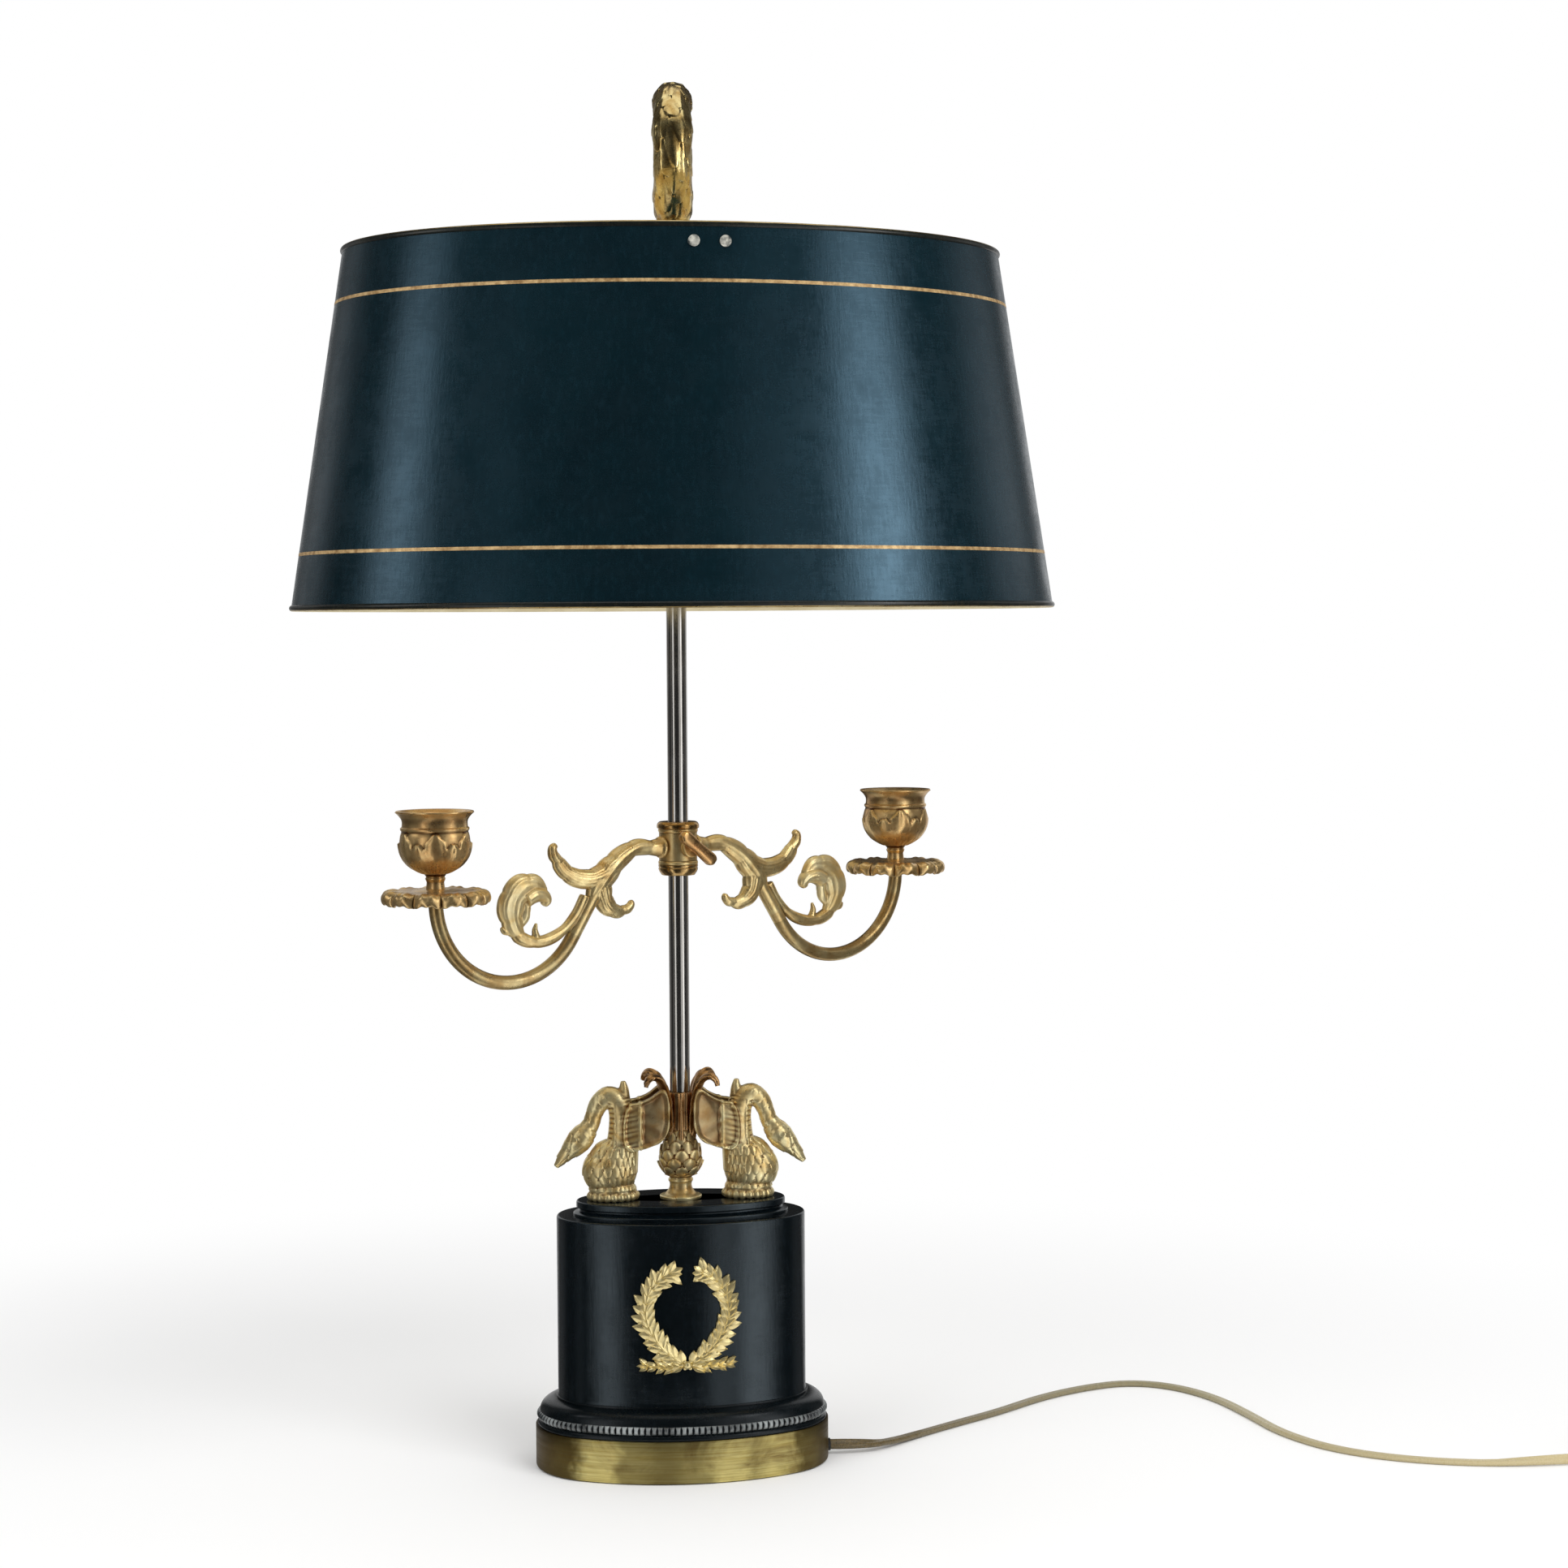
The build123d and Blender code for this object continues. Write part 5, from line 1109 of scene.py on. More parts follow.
def paddle(side):
    """Raised wing: a dished, rim-edged paddle that leans back towards the rod."""
    edge = smooth_line(
        [(-9.0, 48.5), (-13.6, 49.4), (-19.0, 51.6), (-25.0, 55.4), (-27.6, 51.6), (-28.2, 44.4),
         (-27.8, 37.0), (-25.6, 31.8), (-21.0, 28.4), (-15.0, 26.6), (-9.6, 25.4), (-6.0, 29.0),
         (-5.6, 37.0), (-6.6, 44.0), (-9.0, 48.5)], 5)[:-1]
    middle = np.array([-15.5, 39.0])
    outer = []
    inner = []
    for share in np.linspace(1, 0.02, 14):
        ring = middle + (edge - middle) * share
        rim = 1.5 * np.exp(-(((1 - share) / 0.09) ** 2))
        dish = 1.9 * (1 - share**2) * np.clip((-ring[:, 0] - 13.5) / 2.5, 0, 1)
        thick = 0.9 + rim
        lean = 0.10 * (-ring[:, 0] - 10)
        outer.append(np.stack([ring[:, 0], PADDLE_Y + lean - dish + thick, ring[:, 1]], -1))
        inner.append(np.stack([ring[:, 0], PADDLE_Y + lean - dish - thick, ring[:, 1]], -1))
    rounded_edge = []
    for t in np.linspace(0, pi, 7)[1:-1]:
        share = 1 + 0.035 * sin(t)
        ring = middle + (edge - middle) * share
        lean = 0.10 * (-ring[:, 0] - 10)
        rounded_edge.append(
            np.stack([ring[:, 0], PADDLE_Y + lean + 2.4 * cos(t), ring[:, 1]], -1))
    grid = np.array(outer[::-1] + rounded_edge + inner)
    grid[..., 1] *= side
    points, faces = shell(grid, ends=(True, True))
    return points + (SWAN_X, 0, PLINTH_TOP), faces


def swan_shells():
    """A swan's body, neck, head, beak, crest, two wings and ring of beads, to be fused."""
    base = PLINTH_TOP
    x = SWAN_X
    parts = [
        egg((x + 1.0, 0, base + 14.6), (13.7, 10.3, 12.6)),
        egg((x - 0.6, 0, base + 20.0), (12.0, 9.6, 10.4)),
        egg((x - 4.4, 0, base + 22.0), (8.6, 8.6, 14.0)),
        egg((x - 0.4, 0, base + 5.0), (12.0, 9.4, 5.8)),
        limb([(-4.4, 14), (-5.2, 24), (-5.6, 34), (-5.4, 42), (-3.4, 48.4), (1.2, 51.4),
              (6.0, 48.4), (8.7, 43.0), (10.2, 38.4), (13.0, 34.4)],
             [8.6, 8.2, 7.2, 6.6, 6.0, 5.5, 4.8, 4.1, 4.2, 4.9]),
        limb([(10.8, 36.2), (13.8, 33.0), (16.6, 29.8), (19.8, 26.4), (22.0, 24.0)],
             [4.8, 6.3, 6.6, 5.4, 4.2], 0.95),
        limb([(18.6, 27.6), (21.8, 24.2), (25.0, 20.6), (28.0, 17.2)], [5.0, 4.3, 3.1, 1.3], 0.9),
        limb([(-5.6, 50.0), (-6.2, 55.0), (-6.0, 59.4)], [4.0, 2.7, 1.2]),
        paddle(1),
        paddle(-1),
    ]
    for step in range(FOOT_BEADS):
        angle = 2 * pi * step / FOOT_BEADS
        parts.append(egg((x - 0.6 + 11.2 * cos(angle), 8.8 * sin(angle), base + 1.9),
                         (2.2, 2.0, 2.3), 10, 14))
    return parts


def feathers(points):
    """Feather relief: long scales over the breast, short ones up the neck, a chased wing."""
    x = np.abs(points[:, 0]) - SWAN_X
    y = points[:, 1]
    z = points[:, 2] - PLINTH_TOP
    breast = scales(np.arctan2(y, x + 4.0) * 3.0, (30 - z) / 4.8, 1.7)
    column = 0.5 + 0.5 * np.cos(2 * pi * z / 2.5) * np.clip(2 - np.abs(np.abs(y) - 3.5), 0, 1)
    neck = scales(y * 0.42, (x + 52 - z) / 2.6, 1.5)
    chest = (z < 30) & (z > 5.0) & (x > -11)
    spine = (x < 1.6) & (z >= 30) & (z < 52)
    throat = (x >= 1.6) & (z > 31) & (x < 15)
    wing = (x < -14.6) & (np.abs(y) > 4.6) & (z > 20)
    root = (x >= -14.6) & (x < -1.5) & (z > 27) & (z < 50) & (np.abs(y) > 3)
    rungs = 0.5 + 0.5 * np.cos(2 * pi * (z + 0.22 * x) / 2.6 + 0.7 * np.sin(z * 0.9))
    rungs = rungs * np.clip(1.4 - np.abs((x + 9.0) / 4.0), 0, 1)
    piping = np.exp(-(((x + 14.0) / 0.7) ** 2)) * (np.abs(y) > 4.6) * (z > 26)
    from_root = np.hypot(x + 7, z - 35)
    fan = np.arctan2(z - 37, -(x + 4.0))
    barbs = 0.5 + 0.5 * np.cos(fan * 14 + 0.3 * from_root)
    height = np.where(chest, 0.75 * breast - 0.25, 0.0)
    height = np.where(spine, 0.55 * column - 0.2, height)
    height = np.where(throat, 0.26 * neck - 0.06, height)
    height = np.where(wing, 0.3 * barbs - 0.1, height)
    height = np.where(root, 0.34 * rungs - 0.12, height) + 0.45 * piping
    eye = np.exp(-((x - 17.6) ** 2 + (z - 31.6) ** 2) / 0.9) * (np.abs(y) > 2.4)
    brow = np.exp(-((x + 0.2 * z - 26.6) ** 2) / 0.2) * (x > 17) * (z < 34)
    groove = np.exp(-((z - (44.6 - x) - 0.4) ** 2) / 0.12) * (x > 21.6) * (np.abs(y) > 0.8)
    return height + 0.6 * eye - 0.4 * groove - 0.3 * brow


def wing_share(points):
    """The dished wings and the back of the neck keep their copper lacquer."""
    x = np.abs(points[:, 0]) - SWAN_X
    z = points[:, 2] - PLINTH_TOP
    dish = (x < -15.0) & (z > 24)
    back = np.clip((1.5 - x) / 6, 0, 1) * np.clip((z - 24) / 6, 0, 1)
    return np.where(dish, 0.5, 1.0 - 0.22 * back)


for side, mirrored in (("right", False), ("left", True)):
    swan = piece(f"swan_casting_{side}", SWAN_GILT, "root",
                 *[placed(part, mirror=mirrored) for part in swan_shells()],
                 nodes=[f"swan_{side}"])
    fused(swan, voxel=0.4, worn=0.35, displace=feathers)
    tone_down(swan, wing_share)

# ================================================================ pinecone, column and crown
cone_foot = softened(
    raised([(0.01, 0), (10.4, 0), (10.6, 1.5), (7.6, 2.4), (5.4, 5.4), (5.6, 8.0), (6.2, 8.6),
            (6.2, 9.6), (5.6, 10.2), (5.8, 11.0)], PLINTH_TOP),
    (0.1, 0.6, 1.2, 1.6, 0.3, 0.3, 0.3, 0.3),
)
cone_belly = smooth_line(
    raised([(5.8, 11.0), (8.6, 13.0), (10.5, 17.5), (10.3, 22.5), (8.4, 28.0), (6.4, 32.0)],
           PLINTH_TOP) + [(5.6, CONE_TOP)], 12)


def cone_scales(radius, height, angle):
    """Overlapping pointed scales, tips upwards."""
    rise = height - PLINTH_TOP - 10.5
    on_cone = np.clip(rise / 1.5, 0, 1) * np.clip((CONE_TOP - height) / 1.0, 0, 1)
    bumps = scales(np.broadcast_to(angle * 8 / (2 * pi), radius.shape), rise / 4.2, 1.5)
    return radius + on_cone * (1.8 * bumps - 0.9), height


def cone_share(points):
    """The cone above its turned foot keeps its copper lacquer."""
    return np.where(points[:, 2] > PLINTH_TOP + 10.8, 0.66, 1.15)


cone = piece("pinecone_casting", SWAN_GILT, "root",
             lathe(np.vstack([cone_foot, cone_belly[1:]]), 220, cone_scales),
             nodes=["pinecone_foot"], worn=0.3)
tone_down(cone, cone_share)

column_profile = smooth_line(
    [(4.9, CONE_TOP - 1.0), (6.2, CONE_TOP + 1.0), (6.3, CONE_TOP + 6.0), (6.2, CONE_TOP + 12.0),
     (6.6, COLUMN_TOP - 3.0), (6.4, COLUMN_TOP), (5.1, COLUMN_TOP + 0.3)], 12)


def reeds(radius, height, angle):
    """Twelve soft reeds up the column."""
    return radius + 0.22 * np.cos(12 * angle), height


def crown_leaf(turn):
    """Leaf that climbs the column and curls over outwards."""
    line = smooth_line([(5.8, CONE_TOP - 4.0), (7.0, CONE_TOP + 4.0), (8.0, CONE_TOP + 11.0),
                        (9.0, 184.5), (10.9, 190.6), (14.2, 195.0), (18.2, 196.0), (21.0, 194.0),
                        (21.8, 191.4)], LINE_STEPS)
    share = np.linspace(0, 1, len(line))
    wide = np.interp(share, [0, 0.12, 0.35, 0.5, 0.65, 0.8, 0.93, 1],
                     [0.8, 3.2, 4.4, 4.2, 3.8, 3.2, 2.0, 0.7])
    wide = wide * (0.86 + 0.14 * np.abs(np.sin(share * pi * 7)) ** 0.6)
    thick = np.interp(share, [0, 0.3, 0.8, 1], [0.8, 1.0, 1.1, 0.8])
    angle = circle(28)
    rib = 1 + 0.7 * np.exp(-((np.cos(angle) * 5) ** 2))
    sections = np.stack(
        [wide[:, None] * np.cos(angle), thick[:, None] * (np.sin(angle) * rib)], -1)
    return placed(sweep(in_plane(line), sections), turn)


crown_parts = [crown_leaf(radians(angle)) for angle in (35, 145, 215, 325)]
for angle in (90, 270, 0, 180):
    spear = smooth_line([(6.4, CONE_TOP - 4.0), (7.2, CONE_TOP + 1.0), (7.0, CONE_TOP + 9.0),
                         (6.6, 184.0)], LINE_STEPS)
    share = np.linspace(0, 1, len(spear))
    widths = np.interp(share, [0, 0.3, 0.7, 1], [1.6, 1.1, 0.8, 0.5])
    crown_parts.append(placed(sweep(in_plane(spear), round_sections(widths, 14)), radians(angle)))
# The crown's darker bronze is partly painted shade.
piece("crown_casting", CROWN_SHADED_BRONZE, "root", lathe(column_profile, 120, reeds), *crown_parts,
      nodes=["crown_leaves"], worn=0.35)

# ================================================================ laurel wreath
BODY_FRONT_R = BODY_END_R + OVAL_SIDE


def on_front(points):
    """Wreath points (across, up, out) wrapped on the body's front arc."""
    turn = points[:, 0] / BODY_FRONT_R
    reach = BODY_FRONT_R + points[:, 2]
    return np.stack(
        [reach * np.sin(turn), OVAL_FRONT_CENTRE - reach * np.cos(turn), WREATH_Z + points[:, 1]],
        -1)


def laurel_leaf(at, heading, length, width, height, curl):
    """Small pointed leaf with a midrib, lying on the face."""
    rows, columns = 9, 7
    share = np.linspace(0, 1, rows)
    half = width / 2 * np.sin(pi * share**0.75) ** 0.8
    half[0], half[-1] = 0.12 * width, 0.03 * width
    across = np.linspace(-1, 1, columns)
    rib = height * (1 - 0.55 * np.abs(across) ** 1.4 + 0.35 * np.exp(-((across * 3.2) ** 2)))
    lift = curl * share**2
    c, s = cos(heading), sin(heading)
    grid = []
    for j, t in enumerate(share):
        u = across * half[j]
        v = np.full(columns, t * length)
        top = rib * (0.55 + 0.45 * sin(pi * min(t + 0.15, 1))) + lift[j] + 0.35
        front = np.stack([at[0] + c * v - s * u, at[1] + s * v + c * u, top], -1)
        back = front.copy()
        back[:, 2] = 0.05
        grid.append(np.vstack([front, back[::-1]]))
    points, faces = shell(np.array(grid), ends=(True, True))
    return on_front(points), faces


def berry(u, v, radius, lift):
    """Small ball on the face, at (across, up)."""
    rows = [(radius * sin(t) + 1e-3, -radius * cos(t)) for t in np.linspace(0, pi, 9)]
    points, faces = lathe(rows, 12)
    return on_front(points + (u, v, lift)), faces


# Half of the wreath: a branch from the bottom, out and up to the gap at the top, as (across, up).
BRANCH = smooth_line(
    [(1.6, -24.2), (7.8, -20.2), (14.0, -14.0), (18.6, -6.8), (20.6, 1.2), (19.4, 9.2),
     (15.2, 16.2), (9.8, 20.4), (5.4, 21.8)], 10)
BRANCH_SPRIGS = 15
SPRAY_SPRIGS = 5
STEM_H = 0.5


def sprig(at, heading, side, leaves):
    """Leaves from one spot, given as (turn from the heading, length, width), mirrored by side."""
    made = []
    for lean, length, width in leaves:
        way = heading + lean + rng.uniform(-0.2, 0.2)
        length *= rng.uniform(0.88, 1.08)
        if side < 0:
            way = pi - way
        made.append(laurel_leaf((at[0] * side, at[1]), way, length, width, 1.15, 0.8))
    return made


def strip(line, half_width, side):
    """Flat stem under the leaves, along a line on the face."""
    tangent = unit(np.gradient(line, axis=0))
    across = np.stack([-tangent[:, 1], tangent[:, 0]], -1) * half_width
    rows = []
    for offset, lift in ((-1, 0.0), (-1, STEM_H), (1, STEM_H), (1, 0.0)):
        edge = (line + offset * across) * (side, 1)
        rows.append(np.column_stack([edge, np.full(len(line), lift)]))
    points, faces = shell(np.array(rows).transpose(1, 0, 2), ends=(True, True))
    return on_front(points), faces


wreath_parts = []
run = distance_along(BRANCH)
for side in (1, -1):
    wreath_parts.append(strip(BRANCH, 1.7, side))
    wreath_parts.append(strip(np.array([(0.0, -25.0), (8.0, -25.6), (16.0, -25.4), (22.0, -24.8)]),
                              0.7, side))
    for step in range(BRANCH_SPRIGS):
        place = run[-1] * (step + 0.2) / BRANCH_SPRIGS
        at = np.array([np.interp(place, run, BRANCH[:, k]) for k in (0, 1)])
        ahead = np.array([np.interp(place + 0.6, run, BRANCH[:, k]) for k in (0, 1)])
        heading = atan2(*(ahead - at)[::-1]) if place + 0.6 < run[-1] else radians(172)
        wreath_parts += sprig(at, heading, side, (
            (-0.86, 7.8, 4.3), (0.86, 7.4, 4.1), (-0.3, 7.0, 3.8), (0.24, 6.4, 3.6)))
        if step % 2:
            normal = np.array([-sin(heading), cos(heading)])
            for reach in (3.4, -3.6):
                u, v = at + normal * reach
                wreath_parts.append(berry(u * side, v, 0.8, 0.9))
    for step in range(SPRAY_SPRIGS):
        at = (2.5 + 4.2 * step, -25.4 + 0.15 * step)
        wreath_parts += sprig(at, 0.0, side, (
            (0.55, 7.6 - 0.5 * step, 2.7), (-0.5, 6.6 - 0.4 * step, 2.6), (0.04, 6.0, 2.2)))
wreath_parts.append(berry(0, -24.4, 2.1, 1.2))
for angle in np.linspace(0, 2 * pi, 7)[:-1]:
    wreath_parts.append(berry(2.6 * cos(angle), -24.4 + 2.0 * sin(angle), 0.9, 0.9))
piece("laurel_wreath", WREATH_GILT, "root", *wreath_parts, nodes=["wreath_mount"], worn=0.25)

# ================================================================ ring finial
RING_Z = 652.4
RING_R = 26.0
RING_WIRE = 9.4
RING_TURN = radians(-4.5)
RING_LOW = low("ring_finial")[2]


def ring_finial():
    """Heavy cast ring in the YZ plane, on a short neck."""
    around = circle(300)
    across = circle(110)
    wire = RING_WIRE + 0.3 * np.sin(5 * around) + 0.25 * np.sin(9 * around + 1.3)
    reach = RING_R + wire[:, None] * np.cos(across)
    grid = np.stack([
        wire[:, None] * np.sin(across) * np.ones_like(reach),
        reach * np.cos(around)[:, None],
        RING_Z + reach * np.sin(around)[:, None],
    ], -1)
    grid = np.vstack([grid, grid[:1]])
    neck = lathe(softened(raised([(0.01, 0), (7.5, 0), (7.5, 3), (8.6, 9), (0.01, 10)], RING_LOW),
                          (0.6, 0.5, 0.5)), 48)
    return [shell(grid), neck]


def bark(points):
    """Overlapping ragged leaves round the ring, as cast and chased."""
    c, s = cos(-RING_TURN), sin(-RING_TURN)
    x = points[:, 0] * c - points[:, 1] * s
    y = points[:, 0] * s + points[:, 1] * c
    z = points[:, 2] - RING_Z
    around = np.arctan2(z, y)
    out = np.hypot(y, z) - RING_R
    across = np.arctan2(x, out)
    warp = 0.35 * np.sin(3 * around + 2 * across) + 0.2 * np.sin(7 * around - 3 * across)
    leaf = scales(across * 7 / (2 * pi) + 0.3 * warp, around * 26 / (2 * pi) + warp, 1.8)
    streak = 0.5 + 0.5 * np.cos(across * 11 + 3 * warp)
    fade = np.clip((points[:, 2] - RING_LOW - 3) / 5, 0, 1)
    return fade * (0.85 * leaf + 0.25 * streak - 0.6)


ring = piece("leafy_ring", RING_METAL, "root",
             *[placed(part, RING_TURN) for part in ring_finial()], nodes=["ring_finial"])
fused(ring, voxel=0.5, worn=0.4, displace=bark)

# ================================================================ cord
CORD_W = 5.2
CORD_T = 2.8
FLOOR_RUN = CORD_T / 2 + 0.05
ON_EDGE = CORD_W / 2 + 0.05
CORD_EXIT = (74.9, 0.0, 5.4)
# The free run over the table, from the grommet to the coil.
CORD_ROUTE = [
    CORD_EXIT,
    (90.5, 0.0, 5.0),
    (104.5, 7.8, 3.0),
    (126.0, 29.0, FLOOR_RUN),
    (150.0, 48.5, FLOOR_RUN),
    (174.0, 67.0, FLOOR_RUN),
    (202.0, 94.0, FLOOR_RUN),
    (231.0, 112.0, FLOOR_RUN),
    (256.0, 119.5, FLOOR_RUN),
    (279.0, 108.0, FLOOR_RUN),
    (296.0, 79.0, FLOOR_RUN),
    (304.5, 42.0, FLOOR_RUN),
    (311.5, 3.0, FLOOR_RUN),
    (331.0, -33.0, FLOOR_RUN),
    (367.0, -57.0, FLOOR_RUN),
    (413.0, -68.0, FLOOR_RUN),
    (456.0, -67.5, ON_EDGE),
]
COIL_CENTRE = (492.5, -37.6)
COIL_OUT = 29.4
COIL_PITCH = 3.05
COIL_TURNS = 4
COIL_STEPS = 20
LAYER_RISE = CORD_W + 0.1
PLUG_X = COIL_CENTRE[0] + COIL_OUT
PLUG_Y = (-7.6, 20.4)
PLUG_Z = 6.5
PLUG_STEPS = 40
TAIL_END = (PLUG_X, -8.5, PLUG_Z)
HOW_FAR_FLAT = 472.0
TWIST_RUN = 60.0
SPLINE_STEPS = 6
CORE_STEPS = 12


def coil_points():
    """Turns inwards on the table, then outwards on top of them, ending at the tail's side."""
    points = []
    total = 2 * COIL_TURNS * COIL_STEPS + COIL_STEPS // 4
    for step in range(1, total):
        turns = step / COIL_STEPS
        inward = min(turns, 2 * COIL_TURNS - turns)
        radius = COIL_OUT - COIL_PITCH * max(inward, -0.02) + rng.uniform(-0.12, 0.12)
        climb = min(max((turns - COIL_TURNS + 0.25) / 0.5, 0), 1)
        fall = min(max((turns - 2 * COIL_TURNS) / 0.25, 0), 1)
        height = ON_EDGE + LAYER_RISE * climb * climb * (3 - 2 * climb) - 0.6 * fall
        angle = -pi / 2 + 2 * pi * turns
        points.append(
            (COIL_CENTRE[0] + radius * cos(angle), COIL_CENTRE[1] + radius * sin(angle), height)
        )
    return points


def nurbs_points(control):
    """Points read from the smooth spline of these control points."""
    curve = bpy.data.curves.new("cord_line", "CURVE")
    curve.dimensions = "3D"
    curve.resolution_u = SPLINE_STEPS
    spline = curve.splines.new("NURBS")
    spline.points.add(len(control) - 1)
    for point, place in zip(spline.points, control):
        point.co = (*place, 1.0)
    spline.order_u = 3
    spline.use_endpoint_u = True
    holder = bpy.data.objects.new("cord_line", curve)
    mesh = bpy.data.meshes.new_from_object(holder)
    points = np.array([vertex.co for vertex in mesh.vertices])
    bpy.data.meshes.remove(mesh)
    bpy.data.objects.remove(holder)
    bpy.data.curves.remove(curve)
    return points


leaving = [(PLUG_X, -30.0, 7.4), (PLUG_X, -19.0, 6.8)]
cord_line = nurbs_points(CORD_ROUTE + coil_points() + leaving + [TAIL_END])


def twin_section():
    """Two round cores side by side with a web between, as (side, up) offsets."""
    core = CORD_T / 2
    gap = (CORD_W - CORD_T) / 2
    angle = np.linspace(-pi / 2, pi / 2, CORE_STEPS)
    right = np.stack([gap + core * np.cos(angle), core * np.sin(angle)], -1)
    dip = np.array([[0.0, 0.72 * core]])
    left = -right
    return np.vstack([right, dip, left, -dip])


def cord_tube(line):
    """Flat twin flex: it lies flat on the table, and stands on edge in the coil."""
    tangent = unit(np.gradient(line, axis=0))
    level = unit(np.cross((0, 0, 1), tangent))
    over = np.cross(tangent, level)
    gone = distance_along(line)
    twist = np.clip((gone - HOW_FAR_FLAT) / TWIST_RUN, 0, 1) * pi / 2
    start = np.clip(1 - gone / 30, 0, 1) * pi / 2
    twist = (twist + start)[:, None]
    rests_at = (CORD_W * np.sin(twist) + CORD_T * np.cos(twist)) / 2 + 0.05
    line[:, 2:] = np.maximum(line[:, 2:], rests_at)
    side = np.cos(twist) * level + np.sin(twist) * over
    up = -np.sin(twist) * level + np.cos(twist) * over
    section = twin_section()
    grid = line[:, None] + section[None, :, :1] * side[:, None] + section[None, :, 1:] * up[:, None]
    return shell(grid, ends=(True, True)), gone


tube, gone = cord_tube(cord_line)
cord = piece("twin_cord", FLEX, "root", tube, nodes=["cord", "cord_coil", "cord_tail"])
# Its reach, 0 to 1 along the cord, places the flex's painted shadow near the lamp.
reach = cord.data.attributes.new("reach", "FLOAT", "POINT")
along = np.repeat(gone / gone[-1], len(twin_section()))
reach.data.foreach_set("value", np.concatenate([along, [0.0, 1.0]]))

plug_rows = []
for share, half_w, half_h in (
    (0.0, 3.2, 2.4), (0.02, 4.2, 3.4), (0.3, 5.4, 4.2), (0.36, 7.6, 5.0), (0.5, 9.6, 5.9),
    (0.66, 10.6, 6.3), (0.9, 10.8, 6.4), (0.97, 10.4, 6.1), (1.0, 9.4, 5.2),
):
    plug_rows.append((PLUG_Y[0] + share * (PLUG_Y[1] - PLUG_Y[0]), half_w, half_h))
plug_rows = smooth_line(plug_rows, 5)
ridge = 0.35 * (np.cos((plug_rows[:, 0] - PLUG_Y[0]) * 2 * pi / 2.8) > 0.2)
ridge = np.where((plug_rows[:, 0] > 2) & (plug_rows[:, 0] < 15), ridge, 0)
angle = circle(PLUG_STEPS)
square = squircle(angle, 3)
plug_grid = np.stack(
    [
        PLUG_X + (plug_rows[:, 1] - ridge)[:, None] * (square * np.cos(angle))[None, :],
        np.repeat(plug_rows[:, :1], PLUG_STEPS, axis=1),
        PLUG_Z + plug_rows[:, 2][:, None] * (square * np.sin(angle))[None, :],
    ],
    -1,
)
plug = piece("plug_moulding", PLUG_PLASTIC, "root", shell(plug_grid, ends=(True, True)),
             nodes=["plug_body"])
give(TURNED_BRASS, "plug_blades")

# A paper-covered wire tie holds the coil's turns together.
TIE_R = 0.45
TIE_STEPS = 25
tie_path = []
for turn_angle in np.linspace(0, 2 * pi, TIE_STEPS):
    tie_path.append((
        COIL_CENTRE[0] + 25.2 + 6.4 * cos(turn_angle), COIL_CENTRE[1] + 2.0 * sin(turn_angle / 2),
        5.85 + 5.35 * sin(turn_angle),
    ))
tie = piece("coil_tie", PHENOLIC, "root",
            sweep(tie_path, round_sections(np.full(TIE_STEPS, TIE_R), 10)))

# ================================================================ floor, light and camera
CAMERA_AT = (-0.1162, -1.5220, 0.4191)
CAMERA_TILT = radians(90 - 2.92)
CAMERA_TURN = radians(-6.36)
CAMERA_ROLL = radians(-0.35)
LENS = 70.27


def plain_mesh(name, points, faces):
    """Mesh object of the stage, which is no piece of the lamp."""
    mesh = bpy.data.meshes.new(name)
    mesh.from_pydata(points, [], faces)
    obj = bpy.data.objects.new(name, mesh)
    bpy.context.scene.collection.objects.link(obj)
    return obj


def seen_or_mirrored(tree):
    """One for camera, glossy and transmission rays, and zero for the rays that carry light."""
    path = new_node(tree, "LightPath", {})
    level = path.outputs["Is Camera Ray"]
    for ray in ("Is Glossy Ray", "Is Transmission Ray"):
        both = {0: level, 1: path.outputs[ray]}
        level = new_node(tree, "Math", both, operation="MAXIMUM").outputs[0]
    return level


# Away from the lamp the floor turns into the white backdrop; near it, it keeps the shadow.
FLOOR_HALF = 30.0
FLOOR_FADE = (0.30, 0.75)
floor = plain_mesh("floor", [(-FLOOR_HALF, -FLOOR_HALF, 0), (FLOOR_HALF, -FLOOR_HALF, 0),
                             (FLOOR_HALF, FLOOR_HALF, 0), (-FLOOR_HALF, FLOOR_HALF, 0)],
                   [(0, 1, 2, 3)])
floor_paint = Finish("floor_paint", specular=0.0)
floor_paint.set("Base Color", (0.95, 0.95, 0.95, 1))
floor_paint.set("Roughness", 1.0)
floor_tree = floor_paint.tree
floor_reach = new_node(floor_tree, "VectorMath", {0: floor_paint.place}, operation="LENGTH")
floor_fade = new_node(
    floor_tree, "MapRange",
    {"Value": floor_reach.outputs["Value"], "From Min": FLOOR_FADE[0], "From Max": FLOOR_FADE[1]},
    interpolation_type="SMOOTHSTEP")
floor_share = floor_paint.math("MULTIPLY", floor_fade.outputs["Result"],
                               seen_or_mirrored(floor_tree))
floor_white = new_node(floor_tree, "Emission", {})
floor_mix = new_node(floor_tree, "MixShader", {
    0: floor_share, 1: floor_paint.shader.outputs[0], 2: floor_white.outputs[0]})
join(floor_tree, floor_mix.outputs[0], floor_tree.nodes["Material Output"].inputs["Surface"])
floor.data.materials.append(floor_paint.material)

WORLD_FILL = 0.72
world = bpy.data.worlds.new("studio")
bpy.context.scene.world = world
world.use_nodes = True
tree = world.node_tree
backdrop = tree.nodes["Background"]
backdrop.inputs["Color"].default_value = (1, 1, 1, 1)
level = new_node(tree, "MapRange", {
    "Value": seen_or_mirrored(tree), "To Min": WORLD_FILL, "To Max": 1.0})
join(tree, level.outputs["Result"], backdrop.inputs["Strength"])


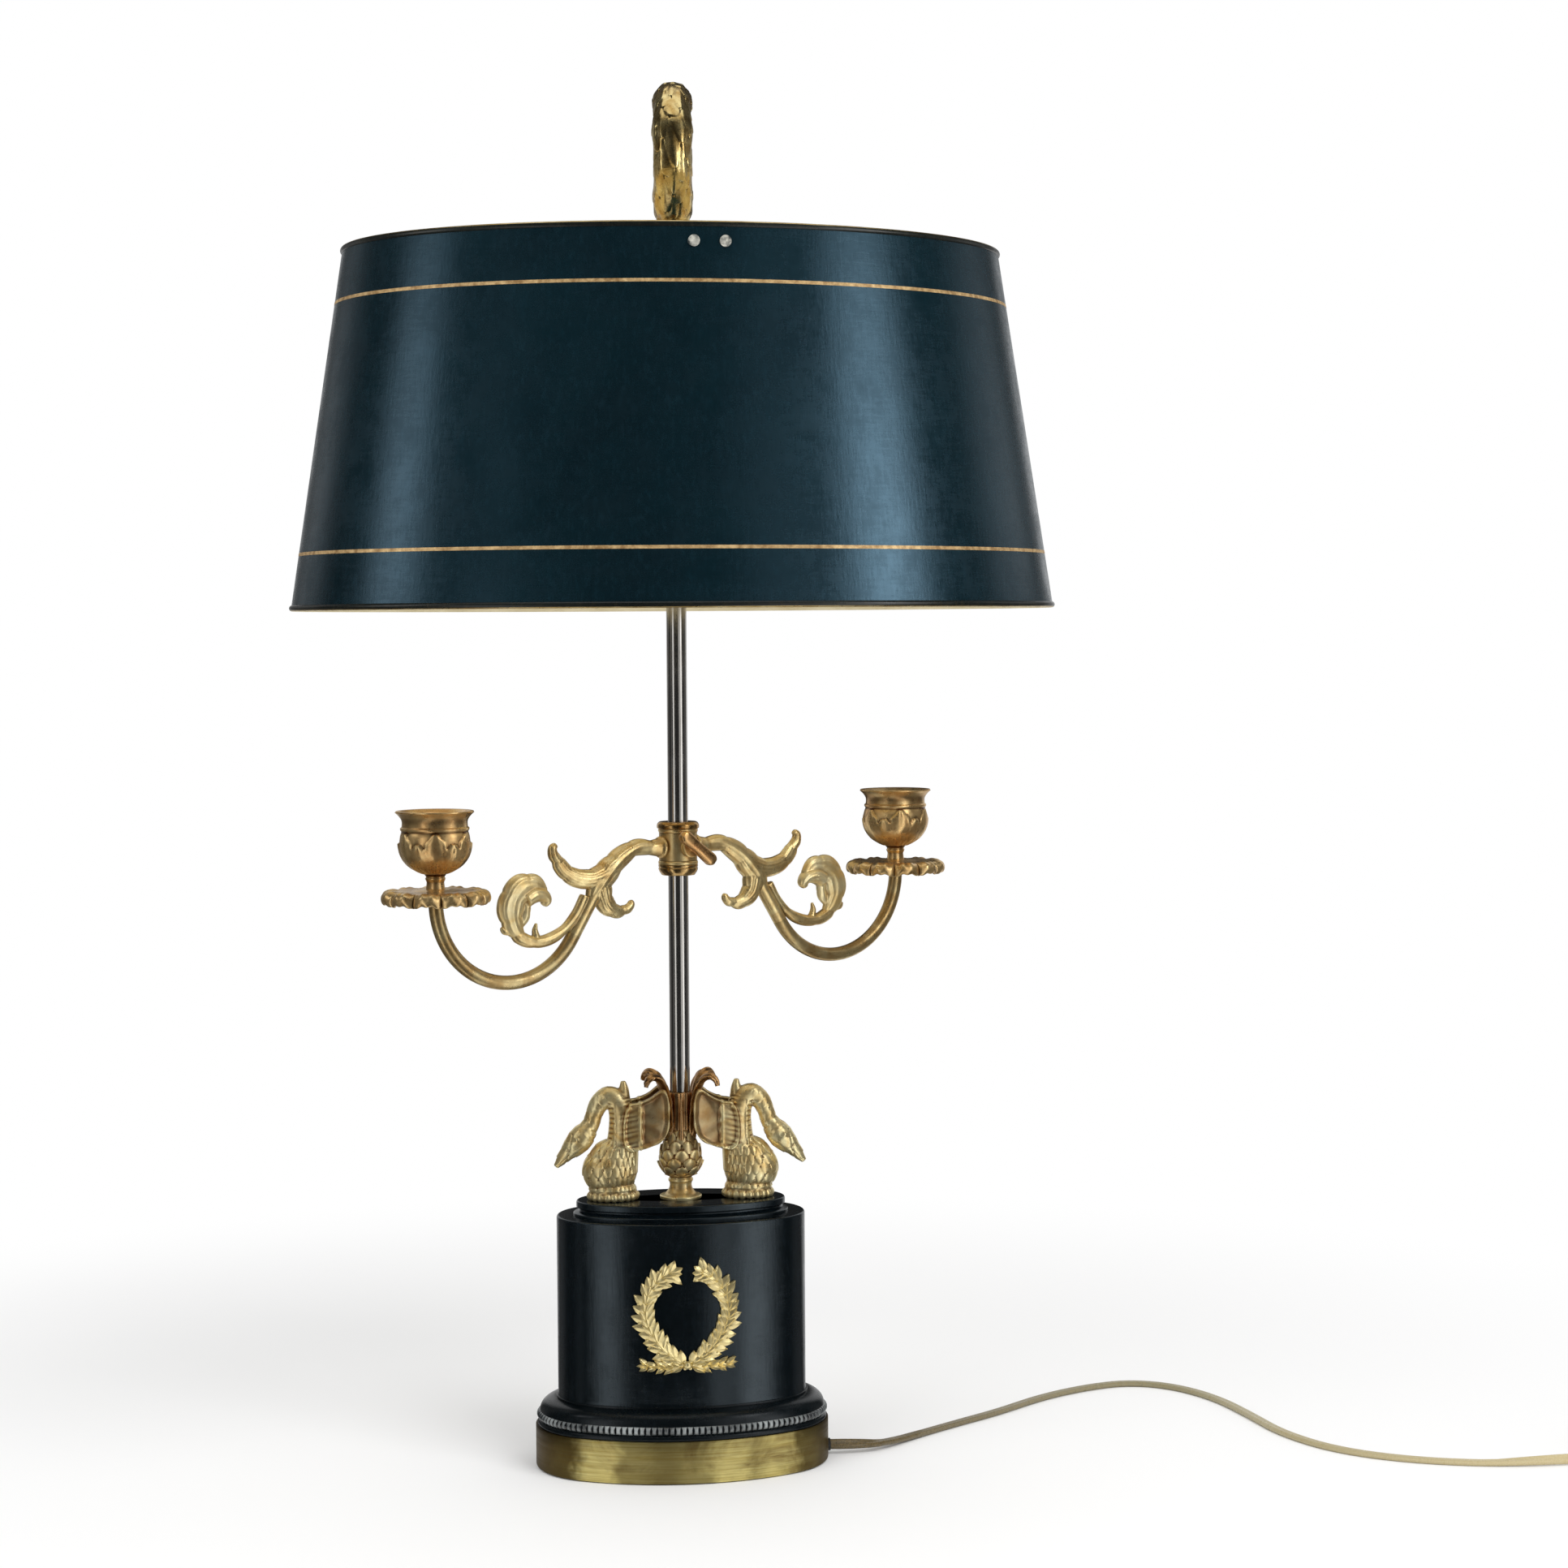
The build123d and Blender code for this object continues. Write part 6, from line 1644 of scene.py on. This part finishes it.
def softbox(name, place, aim, size, power):
    """Square area light that points at aim."""
    light = bpy.data.lights.new(name, "AREA")
    light.shape = "RECTANGLE"
    light.size, light.size_y = size
    light.energy = power
    obj = bpy.data.objects.new(name, light)
    obj.location = place
    obj.rotation_euler = (Vector(aim) - Vector(place)).to_track_quat("-Z", "Y").to_euler()
    obj.visible_glossy = False
    bpy.context.scene.collection.objects.link(obj)


softbox("key_light", (1.1, -1.5, 1.9), (0, 0, 0.3), (1.4, 1.4), 26)
softbox("fill_light", (-1.5, -1.2, 1.5), (0, 0, 0.3), (1.6, 1.6), 12)

# Studio flags that only reflections see: dark, with soft lamps at either side of the camera
# and narrower ones behind. They stand closer near the table. A lamp is (degrees right of the
# camera, half width in degrees, strength beside the rod and base, strength beside the shade).
WALL_HEIGHTS = np.linspace(0.003, 1.3, 44)
WALL_FOOT_R = 0.125
WALL_R = 0.47
WALL_FLARE = 1.3
WALL_STEPS = 240
WALL_DARK = 0.035
SHADE_LEVEL = 0.46
LAMPS = (
    (-38.0, 7.5, 1.25, 0.12), (-65.0, 8.0, 0.1, 2.0), (31.0, 8.0, 0.7, 0.3),
    (52.0, 10.0, 1.6, 0.2), (57.0, 8.5, 0.1, 4.6), (104.0, 13.0, 0.1, 0.5),
    (-112.0, 13.0, 0.1, 0.3), (143.0, 14.0, 0.8, 0.8), (-147.0, 14.0, 0.7, 0.7),
)
LAMP_TOP = 0.72
front_angle = -pi / 2 + CAMERA_TURN
wall_angles = circle(WALL_STEPS)
wall_radii = np.minimum(WALL_FOOT_R + WALL_FLARE * WALL_HEIGHTS, WALL_R)
wall_grid = np.array([
    [(radius * cos(angle), radius * sin(angle), wall_z) for angle in wall_angles]
    for radius, wall_z in zip(wall_radii, WALL_HEIGHTS)
])
wall_points, wall_faces = shell(wall_grid)
wall = plain_mesh("studio_wall", wall_points.tolist(), wall_faces)
wall.visible_camera = False
wall.visible_diffuse = False
wall.visible_transmission = False
wall.visible_shadow = False
off = np.degrees((wall_angles - front_angle + pi) % (2 * pi) - pi)
beside_shade = np.clip((WALL_HEIGHTS - SHADE_LEVEL) / 0.06 + 0.5, 0, 1)
fade = np.clip((LAMP_TOP + 0.15 - WALL_HEIGHTS) / 0.3, 0.1, 1)
glow = np.full((len(WALL_HEIGHTS), WALL_STEPS), WALL_DARK)
for middle, width, low_power, shade_power in LAMPS:
    away = np.abs((off - middle + 180) % 360 - 180) / width
    power = (low_power + (shade_power - low_power) * beside_shade) * fade
    glow += power[:, None] * np.exp(-away**4)[None, :]
wall.data.attributes.new("glow", "FLOAT", "POINT").data.foreach_set("value", glow.ravel())
wall_paint = bpy.data.materials.new("wall_glow")
wall_paint.use_nodes = True
wall_tree = wall_paint.node_tree
wall_tree.nodes.remove(wall_tree.nodes["Principled BSDF"])
glow_node = new_node(wall_tree, "Attribute", {}, attribute_name="glow")
emission = new_node(wall_tree, "Emission", {"Strength": glow_node.outputs["Fac"]})
join(wall_tree, emission.outputs[0], wall_tree.nodes["Material Output"].inputs["Surface"])
wall.data.materials.append(wall_paint)

camera_data = bpy.data.cameras.new("camera")
camera_data.sensor_width = 36
camera_data.lens = LENS
camera_data.clip_end = 100
camera = bpy.data.objects.new("camera", camera_data)
camera.matrix_world = (
    Matrix.Translation(CAMERA_AT)
    @ Euler((CAMERA_TILT, 0, CAMERA_TURN)).to_matrix().to_4x4()
    @ Matrix.Rotation(CAMERA_ROLL, 4, "Z")
)
bpy.context.scene.collection.objects.link(camera)
bpy.context.scene.camera = camera
bpy.context.scene.view_settings.view_transform = "Standard"
